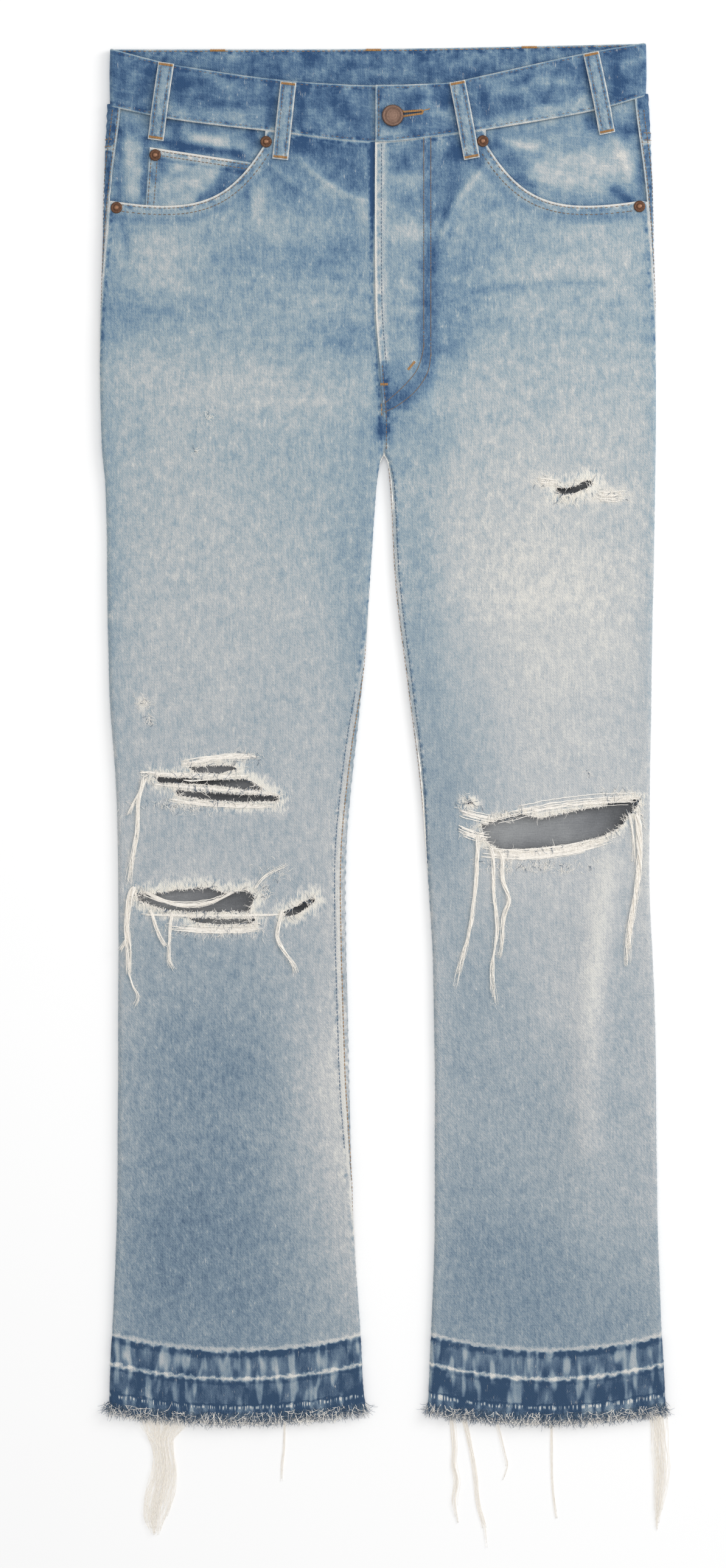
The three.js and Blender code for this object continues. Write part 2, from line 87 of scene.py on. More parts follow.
def setStage():
    scene = bpy.context.scene
    scene.view_settings.view_transform = "Standard"
    bpy.ops.object.camera_add(location=toWorld(*studio["view"]), rotation=(0, 0, 0))
    camera = bpy.context.object
    camera.data.sensor_fit = "VERTICAL"
    camera.data.sensor_height = studio["sensor"]
    camera.data.lens = studio["lens"]
    scene.camera = camera
    for lamp in studio["lamps"]:
        bpy.ops.object.light_add(type="AREA", location=lamp["at"])
        light = bpy.context.object
        light.name = lamp["name"]
        light.data.shape = "SQUARE"
        light.data.size = lamp["size"]
        light.data.energy = lamp["power"]
        light.rotation_euler = (-Vector(lamp["at"])).to_track_quat("-Z", "Y").to_euler()
    world = bpy.data.worlds.new("studio")
    world.use_nodes = True
    background = world.node_tree.nodes["Background"]
    background.inputs["Color"].default_value = (1, 1, 1, 1)
    background.inputs["Strength"].default_value = studio["world"]
    scene.world = world
    bpy.ops.mesh.primitive_plane_add(size=studio["floor"], location=(0, 0, studio["floorLevel"] / 1000))
    floor = bpy.context.object
    floor.name = "floor"
    paper = bpy.data.materials.new("floor_paper")
    paper.use_nodes = True
    shader = paper.node_tree.nodes["Principled BSDF"]
    for name, value in studio["paper"].items():
        shader.inputs[name].default_value = value
    floor.data.materials.append(paper)
    floor.select_set(False)


setStage()
print("camera, lamps and floor are set")


def mix(a, b, t):
    return a + (b - a) * t


def clamp(t, low=0.0, high=1.0):
    return max(low, min(high, t))


def smoothstep(low, high, t):
    t = clamp((t - low) / (high - low))
    return t * t * (3 - 2 * t)


def bell(t):
    return math.exp(-t * t)


def ripple(x, y, z=0.0):
    return noise.noise(Vector((x, y, z)))  # smooth, from -1 to 1


def follow(points, along):
    # value of the smooth line through (along, value) points
    last = len(points) - 1
    t = clamp(along, points[0][0], points[last][0])
    i = 0
    while i < last - 1 and t > points[i + 1][0]:
        i += 1

    def slope(k):
        before, after = points[max(k - 1, 0)], points[min(k + 1, last)]
        return (after[1] - before[1]) / (after[0] - before[0])

    span = points[i + 1][0] - points[i][0]
    u = (t - points[i][0]) / span
    pull = slope(i) * u * (1 - u) ** 2 - slope(i + 1) * (1 - u) * u ** 2
    return mix(points[i][1], points[i + 1][1], u * u * (3 - 2 * u)) + span * pull


# Edges of the legs as (down, x), and the inseams beside them as (down, distance above the fold's crest)
legs = {
    "right": {
        "inward": 1,
        "outer": [(0, -209), (80, -213), (230, -217), (310, -216), (345, -213), (500, -210), (575, -205),
                  (650, -203), (915, -204), (1010, -208), (1075, -211)],
        "inner": [(320, 4.9), (326, 2.4), (345, -0.5), (420, -5.7), (500, -11.5), (575, -19.5), (630, -24),
                  (690, -24.3), (840, -21), (915, -19), (1010, -13), (1050, -11), (1075, -8)],
        "inseam": [(320, 0), (345, -3), (440, -1), (550, 7), (800, 7), (850, 5), (1000, -4), (1075, -4)],
    },
    "left": {
        "inward": -1,
        "outer": [(0, 209.5), (80, 214.5), (230, 218), (345, 217.6), (500, 214.8), (650, 213.3), (765, 217.6),
                  (915, 219.5), (1010, 223), (1075, 226.5)],
        "inner": [(320, 5.5), (326, 8.3), (345, 10.5), (420, 14.3), (500, 24), (575, 33.8), (650, 39.5),
                  (725, 43.8), (915, 44.8), (1010, 42), (1075, 39)],
        "inseam": [(320, 0), (345, 2), (560, 2), (700, -3), (1075, -3)],
    },
}
sideSeam = [(0, 13), (55, 12), (110, 7), (200, 1.5), (262, -2.5), (330, -6), (1075, -6)]
flyEdge = [(0, -1.4), (200, -1.4), (262, 3), (290, 5.2), (320.5, 5.2)]
seatSeam = [(0, 0), (320.5, 5.2)]
bandTopFront = [(-209, 2.4), (-171, 12.4), (-156, 15.7), (-75, 27), (0, 31.2), (56, 29), (76, 25), (158, 7),
                (209, -2)]
bandTopBack = [(-209, 2.4), (0, 2), (209, -2)]
bandBottomFront = [(-209, 48), (-163, 57.5), (-87, 67), (0, 76), (63, 69), (80, 67), (168, 51.5), (209, 40)]
bandBottomBack = [(-209, 48), (-100, 46), (0, 45), (100, 43), (209, 40)]
yokeSide = 214
yokeSeam = [(-yokeSide, 81), (-100, 101), (0, 117), (100, 99), (yokeSide, 76)]


def bandTop(x, front):
    return mix(follow(bandTopBack, x), follow(bandTopFront, x), front)


def bandBottom(x, front):
    return mix(follow(bandBottomBack, x), follow(bandBottomFront, x), front)


def yokeLine(x, front):
    return mix(follow(yokeSeam, x), follow(yokeSeam, math.copysign(yokeSide, x)), front)


def liftAt(down):
    return garment["seatLift"] * (1 - smoothstep(garment["seatLow"], garment["seatEnd"], down))


def mirrored(points, side):
    # the right side's points, or the same ones for the left side
    return points if side == "right" else [(2 * garment["mirrorX"] - x, down) for x, down in points]


sag = {"start": 940, "full": 1010, "deep": 12, "hemStart": 1045, "hemDeep": 8}


def smile(side, x, down):
    # how far the middle of a leg hangs below its sides near the hem
    outer, inner = follow(legs[side]["outer"], down), follow(legs[side]["inner"], down)
    across = clamp((x - outer) / (inner - outer))
    deep = mix(sag["deep"], sag["hemDeep"], smoothstep(sag["hemStart"], garment["hem"], down))
    return deep * smoothstep(sag["start"], sag["full"], down) * 4 * across * (1 - across)


def roundFold(edge, inward, distance, lift, face):
    # x, z and outward direction of a point on unrolled cloth, "distance" in from an edge
    turn = (fold - distance) / fold
    if turn <= 0:
        return edge + inward * distance, lift + fold * (1 + face), 0.0, float(face)
    beyond = max(turn - math.pi, 0) * fold
    turn = min(turn, math.pi)
    x = edge + inward * (fold * (1 - math.sin(turn)) + beyond)
    return x, lift + fold * (1 + face * math.cos(turn)), -inward * math.sin(turn), face * math.cos(turn)


def seamDistance(face, above):
    # distance in from the edge, on unrolled cloth, of a seam that lies "above" the crest of the fold
    return face * above + fold * (1 - math.pi / 2)


def joinedAt(down):
    return smoothstep(garment["joinStart"], garment["crotch"], down)


def centreAt(face, down):
    return follow(flyEdge if face > 0 else seatSeam, down)


def plyPoint(side, face, u, down):
    # x, z and outward direction of a point of a ply, u across the unrolled cloth
    leg = legs[side]
    inward, lift = leg["inward"], liftAt(down)
    outer = follow(leg["outer"], down)
    fromOuter = inward * (u - outer)
    if fromOuter < fold:
        return roundFold(outer, inward, fromOuter, lift, face)
    flat = (u, lift + fold * (1 + face), 0.0, float(face))
    joined = joinedAt(down)
    if joined == 0:
        return flat
    inner = follow(leg["inner"], down) if down >= garment["crotch"] else centreAt(face, down)
    fromInner = inward * (inner - u)
    if fromInner >= fold:
        return flat
    bent = roundFold(inner, -inward, fromInner, lift, face)
    return tuple(mix(a, b, joined) for a, b in zip(flat, bent))


def outerSeam(side, face, down):
    leg = legs[side]
    return follow(leg["outer"], down) + leg["inward"] * seamDistance(face, follow(sideSeam, down))


def innerSeam(side, face, down):
    # the centre seam down to the crotch, then the inseam
    leg = legs[side]
    centre = centreAt(face, min(down, garment["crotch"]))
    joined = joinedAt(down)
    if joined == 0:
        return centre
    seam = follow(leg["inner"], down) - leg["inward"] * seamDistance(face, follow(leg["inseam"], down))
    return mix(centre, seam, joined)


# Shader expressions: a wrapped socket that adds a Math node for each operator
class Wire:
    def __init__(self, tree, socket):
        self.tree = tree
        self.socket = socket

    def math(self, operation, first, second=0.0):
        node = self.tree.nodes.new("ShaderNodeMath")
        node.operation = operation
        plug(self.tree, node.inputs[0], first)
        plug(self.tree, node.inputs[1], second)
        return Wire(self.tree, node.outputs[0])

    def __add__(self, other):
        return self.math("ADD", self, other)

    def __radd__(self, other):
        return self.math("ADD", other, self)

    def __sub__(self, other):
        return self.math("SUBTRACT", self, other)

    def __rsub__(self, other):
        return self.math("SUBTRACT", other, self)

    def __mul__(self, other):
        return self.math("MULTIPLY", self, other)

    def clamped(self):
        return self.math("MINIMUM", self.math("MAXIMUM", self, 0.0), 1.0)

    def ramp(self, low, high):
        # 0 at low, 1 at high and smooth between. low may be the greater
        node = self.tree.nodes.new("ShaderNodeMapRange")
        node.interpolation_type = "SMOOTHSTEP"
        for slot, value in zip(node.inputs, (self, min(low, high), max(low, high), 0.0, 1.0)):
            plug(self.tree, slot, value)
        rising = Wire(self.tree, node.outputs[0])
        return rising if high > low else 1 - rising

    def line(self, centre, width):
        # 1 where the value is centre, falling to 0 at width from it
        return self.math("ABSOLUTE", self - centre).ramp(width, 0.0)


def plug(tree, slot, value):
    if isinstance(value, Wire):
        tree.links.new(value.socket, slot)
    else:
        slot.default_value = value


def linear(red, green, blue):
    # a colour in everyday 0 to 255 steps, as the values that the shaders take
    steps = (red / 255, green / 255, blue / 255)
    return tuple(v / 12.92 if v <= 0.04045 else ((v + 0.055) / 1.055) ** 2.4 for v in steps) + (1.0,)


class Surface:
    # one material and the nodes that are added to it
    def __init__(self, name, roughness, metallic=0.0, sheen=0.0, specular=0.2):
        self.material = bpy.data.materials.new(name)
        self.material.use_nodes = True
        self.tree = self.material.node_tree
        self.shader = self.tree.nodes["Principled BSDF"]
        self.shader.inputs["Roughness"].default_value = roughness
        self.shader.inputs["Metallic"].default_value = metallic
        self.shader.inputs["Sheen Weight"].default_value = sheen
        self.shader.inputs["Specular IOR Level"].default_value = specular

    def add(self, kind, settings, inputs, output=0):
        node = self.tree.nodes.new("ShaderNode" + kind)
        for key, value in settings.items():
            if key == "stops":
                ramp = node.color_ramp
                ramp.elements[0].color, ramp.elements[1].color = value[0][1], value[-1][1]
                for place, colour in value[1:-1]:
                    ramp.elements.new(place).color = colour
            else:
                setattr(node, key, value)
        for key, value in inputs.items():
            plug(self.tree, node.inputs[key], value)
        return Wire(self.tree, node.outputs[output])

    def grain(self, across, along, turn=0.0, detail=2.0, seed=0.0):
        # noise about 0, with marks "across" by "along" millimetres, turned by an angle
        place = self.add("TexCoord", {}, {}, output=3)
        turned = self.add("Mapping", {}, {"Vector": place, "Rotation": (0, 0, math.radians(turn))})
        scale = (1000 / across, 1000 / along, 40.0)
        vector = self.add("Mapping", {}, {"Vector": turned, "Scale": scale, "Location": (seed, seed, seed)})
        return self.add("TexNoise", {}, {"Vector": vector, "Scale": 1.0, "Detail": detail}) - 0.5

    def attribute(self, name):
        return self.add("Attribute", {"attribute_type": "GEOMETRY", "attribute_name": name}, {}, output=2)

    def blend(self, factor, first, second):
        return self.add("Mix", {"data_type": "RGBA"}, {0: factor, 6: first, 7: second}, output=2)

    def ramp(self, value, stops):
        return self.add("ValToRGB", {"stops": stops}, {"Fac": value})

    def set(self, name, value):
        plug(self.tree, self.shader.inputs[name], value)

    def bump(self, height, distance):
        # distance in millimetres for a height of 1
        self.set("Normal", self.add("Bump", {}, {"Height": height, "Distance": distance / 1000}))


denim = {
    "washes": [  # from unworn indigo to bare cotton
        (0.0, linear(49, 79, 116)), (0.2, linear(82, 111, 142)), (0.4, linear(117, 143, 164)),
        (0.6, linear(153, 170, 179)), (0.8, linear(188, 192, 193)), (1.0, linear(220, 217, 210)),
    ],
    "duller": [  # the same further down the legs
        (0.0, linear(52, 76, 104)), (0.2, linear(89, 110, 133)), (0.4, linear(123, 142, 158)),
        (0.6, linear(157, 169, 177)), (0.8, linear(189, 192, 194)), (1.0, linear(219, 218, 213)),
    ],
    "wrongSide": [(0.0, linear(50, 52, 56)), (0.5, linear(128, 130, 133)), (1.0, linear(186, 188, 188))],
    "cream": linear(232, 229, 220),
    "twill": 1.35,  # millimetres between the diagonal ribs
    "bumpHeight": 0.16,
}
hemLines = {"oldSeam": 1010.0, "oldFold": 1031.0, "needles": 1055.5, "raw": 1067.0}


def denimSurface(name, mirrorRibs=False):
    # worn denim: indigo thinning to cotton, streaked by slubs. It reads wash, which holds painted shade in
    # places, station, edge and rip
    s = Surface(name, 0.92, sheen=0.06)
    oldSeam, oldFold, needleHoles, raw = hemLines.values()
    wash, station = s.attribute("wash"), s.attribute("station")
    edge, rip = s.attribute("edge"), s.attribute("rip")
    slub = s.grain(1.2, 13, detail=3, seed=3)
    pick = s.grain(4, 1.1, detail=2, seed=9)
    speck = s.grain(0.9, 1.1, detail=2, seed=17)
    mottle = s.grain(6, 8, detail=4, seed=23)
    cloud = s.grain(38, 46, detail=3, seed=31)
    slanted = s.grain(1.2, 5, turn=-32, detail=3, seed=41)
    pucker = s.grain(4.2, 4.2, detail=1, seed=51)
    fray = s.grain(0.9, 4.5, detail=2, seed=71)
    whisker = s.grain(52, 8, turn=4, detail=2, seed=91) * station.line(215, 120)
    lowLeg = station.ramp(660, 800)
    crumpled = station.ramp(330, 90)
    tone = wash + slub * 0.3 + pick * 0.14 + speck * 0.36 + cloud * 0.14
    tone += mottle * (crumpled * 0.1 + 0.26)
    tone += slanted * (lowLeg * 0.2 + 0.2) + whisker * 0.24
    veins = s.grain(26, 8, turn=12, detail=2, seed=95).line(0.0, 0.05)
    tone += veins * station.ramp(110, 60) * 0.07
    # a pale line where an edge is worn, and dark and light puckers beside it
    tone += edge.ramp(2.2, 0.7) * (crumpled * 0.28 + 0.14)
    tone += edge.line(3.2, 2.8) * (pucker - 0.07)
    # a let-down hem: two unworn bands between the old seam, the old fold and the needle holes
    bars = s.grain(6.2, 24, detail=1, seed=61).ramp(-0.02, 0.17)
    patches = s.grain(9, 17, detail=1, seed=66)
    low = station + pucker * 5.0 + speck * 1.2
    worn = low.line(oldFold - 10.5, 22)
    unworn = 0.02 + bars * 0.4 + patches * 0.8 + worn * 0.15 + slub * 0.24 + speck * 0.3
    tone += (unworn - tone) * low.ramp(oldSeam - 0.6, oldSeam + 0.6)
    tone += low.line(oldSeam + 2.4, 4.0) * -0.26
    tone += low.line(oldSeam - 1.8, 3.0) * 0.3
    tone += low.line(oldFold, 2.4) * (0.62 + speck * 0.6)
    tone += low.line(oldFold + 3.6, 2.4) * -0.16
    needles = s.grain(1.3, 60, detail=0, seed=81).ramp(-0.02, 0.1)
    tone += low.line(needleHoles - 2.6, 1.8) * -0.24
    tone += low.line(needleHoles, 2.8) * (needles * 0.8 - 0.06)
    tone += low.ramp(raw - 7, raw) * (0.16 + fray * 1.6)
    tone += rip.ramp(11, 1) * (0.1 + mottle * 0.6 + fray * 0.9)
    bare = (rip.ramp(7.5, 0.3) * 1.4 + fray * 2.6 + mottle * 1.6 - 0.5).clamped()
    bright, dull = s.ramp(tone, denim["washes"]), s.ramp(tone, denim["duller"])
    faded = s.blend(station.ramp(260, 700), bright, dull)
    s.set("Base Color", s.blend(bare, faded, denim["cream"]))
    place = s.add("TexCoord", {}, {}, output=3)
    turn = math.radians(45 if mirrorRibs else -45)
    ribs = s.add("Mapping", {}, {"Vector": place, "Rotation": (0, 0, turn), "Scale": (1000, 1000, 0)})
    across = s.add("SeparateXYZ", {}, {"Vector": ribs})
    weave = across.math("SINE", across * (2 * math.pi / denim["twill"]))
    s.bump(weave * 0.35 + slub * 1.6 + pick * 1.2 + speck * 1.6, denim["bumpHeight"])
    return s.material


def wrongSideSurface():
    # the undyed face of the cloth, seen through the rips and at the back of the waist. Its inside number
    # holds painted shade in the rips
    s = Surface("denim_wrong_side", 0.95)
    pick = s.grain(9, 1.1, detail=3, seed=5)
    speck = s.grain(1.0, 1.2, detail=2, seed=6)
    mottle = s.grain(9, 12, detail=3, seed=7)
    tone = s.attribute("inside") + pick * 0.2 + speck * 0.24 + mottle * 0.2
    s.set("Base Color", s.ramp(tone, denim["wrongSide"]))
    s.bump(pick * 1.5 + speck, denim["bumpHeight"])
    return s.material


def threadSurface(name, colour, shade, paintedGlow=0.0):
    # spun thread, darker by "shade" between its fibres. The glow is painted light: a faint emission that
    # stands for the light its loose fibres pass on
    s = Surface(name, 0.9, sheen=0.1)
    s.set("Emission Color", linear(*colour))
    s.set("Emission Strength", paintedGlow)
    fibres = s.grain(0.8, 2.6, detail=2, seed=4)
    light = linear(*colour)
    dark = tuple(c * (1 - shade) for c in light[:3]) + (1.0,)
    s.set("Base Color", s.blend(fibres.ramp(0.2, -0.2), light, dark))
    s.bump(fibres, 0.1)
    return s.material


def copperSurface(name, bright, dull, roughness):
    # worn copper plate: bright where it is rubbed, brown in the hollows. It reads hollow
    s = Surface(name, roughness, metallic=0.75, specular=0.5)
    spots = s.grain(1.1, 1.1, detail=4, seed=8)
    worn = (s.attribute("hollow") + spots * 0.8).clamped()
    s.set("Base Color", s.blend(worn, linear(*bright), linear(*dull)))
    s.set("Roughness", (roughness + worn * 0.25 + spots * 0.2).clamped())
    s.bump(spots, 0.08)
    return s.material


denimFront = denimSurface("denim_worn")
denimBack = denimSurface("denim_worn_back", mirrorRibs=True)
wrongSide = wrongSideSurface()
creamThread = threadSurface("thread_cream", (250, 245, 237), 0.1, paintedGlow=0.14)
indigoThread = threadSurface("thread_indigo", (88, 112, 138), 0.3)
brownStitch = threadSurface("stitch_brown", (138, 116, 98), 0.3)
goldStitch = threadSurface("stitch_ochre", (178, 140, 98), 0.35)
orangeStitch = threadSurface("bartack_orange", (196, 145, 84), 0.3)
buttonCopper = copperSurface("copper_button", (146, 118, 103), (88, 68, 60), 0.46)
rivetCopper = copperSurface("copper_rivet", (158, 118, 92), (84, 58, 46), 0.4)
print("materials are ready")


# Small tools for outlines, paths and meshes
def boxOf(outline):
    xs, downs = [p[0] for p in outline], [p[1] for p in outline]
    return min(xs), max(xs), min(downs), max(downs)


def pathDistance(path, x, down, reach):
    # distance to an open path, or reach where that is less
    left, right, top, bottom = boxOf(path)
    if x < left - reach or x > right + reach or down < top - reach or down > bottom + reach:
        return reach
    best = reach
    for (ax, ad), (bx, bd) in zip(path, path[1:]):
        dx, dd = bx - ax, bd - ad
        part = clamp(((x - ax) * dx + (down - ad) * dd) / (dx * dx + dd * dd))
        best = min(best, math.hypot(ax + part * dx - x, ad + part * dd - down))
    return best


def insideOutline(outline, x, down):
    odd = False
    for k, (ax, ad) in enumerate(outline):
        bx, bd = outline[k - 1]
        if (ad > down) != (bd > down) and x < (bx - ax) * (down - ad) / (bd - ad) + ax:
            odd = not odd
    return odd


def areaOf(outline):
    return abs(sum(outline[k - 1][0] * d - x * outline[k - 1][1] for k, (x, d) in enumerate(outline))) / 2


def evenly(path, step):
    # the same open path with a point about every step
    made = [path[0]]
    for (ax, ad), (bx, bd) in zip(path, path[1:]):
        pieces = max(1, round(math.hypot(bx - ax, bd - ad) / step))
        made += [(mix(ax, bx, j / pieces), mix(ad, bd, j / pieces)) for j in range(1, pieces + 1)]
    return made


def closedEvenly(outline, step):
    return evenly(outline + outline[:1], step)[:-1]


def spaced(start, end, step):
    # numbers from start to end, about a step apart
    count = max(1, round(abs(end - start) / step))
    return [mix(start, end, k / count) for k in range(count + 1)]


def downLine(edge, top, bottom, step):
    # points of an edge, a function of down, from top to bottom
    return [(edge(down), down) for down in spaced(top, bottom, step)]


def bezier(points, steps):
    a, b, c, d = (Vector(p) for p in points)
    made = []
    for k in range(steps + 1):
        t = k / steps
        made.append(tuple(a * (1 - t) ** 3 + b * 3 * t * (1 - t) ** 2 + c * 3 * t * t * (1 - t) + d * t ** 3))
    return made


def smoothPath(points, step):
    # the smooth line through points of any number of coordinates, with a point about every step
    made = []
    for k in range(len(points) - 1):
        a, b = points[max(k - 1, 0)], points[k]
        c, d = points[k + 1], points[min(k + 2, len(points) - 1)]
        pieces = max(1, round(math.dist(b, c) / step))
        for j in range(pieces):
            t = j / pieces
            made.append(tuple(
                q + 0.5 * t * (r - p + t * (2 * p - 5 * q + 4 * r - s + t * (3 * (q - r) + s - p)))
                for p, q, r, s in zip(a, b, c, d)))
    return made + [tuple(points[-1])]


def beside(path, distance):
    # a path that runs to the left of another, as seen along it with down pointing down
    made = []
    for k, (x, down) in enumerate(path):
        ax, ad = path[max(k - 1, 0)]
        bx, bd = path[min(k + 1, len(path) - 1)]
        length = math.hypot(bx - ax, bd - ad)
        made.append((x + (bd - ad) / length * distance, down - (bx - ax) / length * distance))
    return made


def makeMesh(name, vertices, faces, materials):
    mesh = bpy.data.meshes.new(name)
    mesh.from_pydata(vertices, [], faces)
    for material in materials:
        mesh.materials.append(material)
    mesh.polygons.foreach_set("use_smooth", [True] * len(mesh.polygons))
    mesh.update()
    piece = bpy.data.objects.new(name, mesh)
    bpy.context.collection.objects.link(piece)
    return piece


def choose(piece):
    bpy.ops.object.select_all(action="DESELECT")
    bpy.context.view_layer.objects.active = piece
    piece.select_set(True)


def finishWith(piece, kind, **settings):
    # add one modifier and apply it
    choose(piece)
    modifier = piece.modifiers.new(kind.title(), kind)
    for key, value in settings.items():
        setattr(modifier, key, value)
    bpy.ops.object.modifier_apply(modifier=modifier.name)


def paint(piece, values):
    # numbers on the vertices, for the materials to read: one dictionary for each vertex
    for name in values[0]:
        attribute = piece.data.attributes.new(name, "FLOAT", "POINT")
        attribute.data.foreach_set("value", [numbers[name] for numbers in values])


def faceOut(piece):
    choose(piece)
    bpy.ops.object.mode_set(mode="EDIT")
    bpy.ops.mesh.select_all(action="SELECT")
    bpy.ops.mesh.normals_make_consistent(inside=False)
    bpy.ops.object.mode_set(mode="OBJECT")


def shadeSmooth(degrees):
    # the chosen piece, all but its edges that are sharper than this
    bpy.ops.object.shade_smooth_by_angle(angle=math.radians(degrees))


def tubeFaces(rings, ring):
    # faces of a closed tube whose vertices lie ring after ring
    faces = []
    for i in range(rings - 1):
        for j in range(ring):
            a, b = i * ring + j, i * ring + (j + 1) % ring
            faces.append((a, a + ring, b + ring, b))
    return faces + [tuple(range(ring)), tuple(reversed(range((rings - 1) * ring, rings * ring)))]


# Rips, as outlines of (x, down)
rips = {
    "right": [
        [(-148, 564), (-131, 563), (-112, 563), (-110, 566), (-124, 570), (-143, 569)],
        [(-174.5, 571.5), (-154, 572.5), (-128, 574), (-102, 573.5), (-89, 581), (-90, 582.5), (-106, 582),
         (-128, 579), (-154, 577.5), (-171, 577)],
        [(-158, 582), (-133, 583.6), (-105, 585.5), (-77, 586.5), (-77, 591), (-105, 592), (-133, 590.5),
         (-156, 587)],
        [(-189, 663), (-174, 663), (-156, 660), (-133, 658), (-117.5, 663), (-102.5, 660), (-95, 665.5),
         (-98, 672), (-99.5, 678), (-148, 678), (-170.5, 675.5), (-187, 669)],
        [(-149, 682), (-120, 683), (-95, 682.5), (-97, 687), (-122, 688), (-142, 686)],
        [(-74, 678), (-65, 674), (-58, 669.5), (-50, 666.5), (-48, 669), (-56, 675.5), (-64, 680.5),
         (-71, 681.5)],
    ],
    "left": [
        [(81.5, 609), (97, 604), (112, 600.5), (128.5, 604), (144, 600.5), (173, 594.5), (188, 591),
         (206, 589), (203, 596), (188, 613.5), (173, 620.5), (150, 626), (112, 630), (97, 630), (83, 622)],
        [(69.5, 591.5), (74, 591), (76, 593.5), (71, 594)],
        [(139.5, 345.5), (147, 346), (155, 344), (162, 340), (168, 339.5), (169, 343), (163, 346.5),
         (156, 350), (147, 351.5), (140.5, 350.5)],
    ],
}
tear = {
    "top": 330, "bottom": 710,  # no rip lies outside these
    "step": 1.6, "rough": 0.7,
    "reach": 14.0,  # nothing reads a distance past this
    "curl": 0.7,
    "bareness": {"right": 0.6, "left": 1.0, "thigh": 0.55},
    "thighEnd": 450,
}


def ragged(outline, seed):
    # the outline with points every step, shaken a little as torn cloth is
    points = []
    for x, down in closedEvenly(outline, tear["step"]):
        points.append((x + tear["rough"] * 0.5 * ripple(x * 0.9, down * 0.9, seed),
                       down + tear["rough"] * ripple(x * 0.6, down * 0.6, seed + 7)))
    return points


tornEdges = {side: [ragged(outline, k * 3.1) for k, outline in enumerate(rips[side])] for side in rips}


def numbersAt(wash, edge, station=0.0, rip=tear["reach"], inside=0.5):
    # what the cloth's materials read: how worn it is, with painted shade in places, how far from a finished
    # edge, down the leg and from a torn edge, and how pale its wrong side is, with painted shade inside the
    # rips
    return {"wash": wash, "station": station, "edge": max(0, edge), "rip": rip, "inside": inside}


def fromRips(side, x, down):
    if not tear["top"] < down < tear["bottom"]:
        return tear["reach"]
    return min(pathDistance(edge + edge[:1], x, down, tear["reach"]) for edge in tornEdges[side])


scoop = bezier([(-88, 77), (-116.5, 123.5), (-142, 131.5), (-206, 122)], 40)
scoops = {side: mirrored([(-87.5, 62)] + scoop + [(-211, 121)], side) for side in legs}
scoopHem = 7.4  # width of the doubled cloth along the pocket mouth
flyStitch = {
    "outer": [(41.8, 70), (41.8, 226), (41.8, 241.5), (39.2, 256), (29.7, 270.6), (15.1, 282.3),
              (5.7, 286.7)],
    "inner": [(36.3, 70), (36.3, 220), (36.3, 234), (34.1, 245.8), (29.7, 256), (19.5, 267.7), (5.7, 280.1)],
    "strip": 8.6,  # width of the pale strip along the fly edge
    "raise": 1.5,
}
flyLine = smoothPath(flyStitch["outer"], 4)
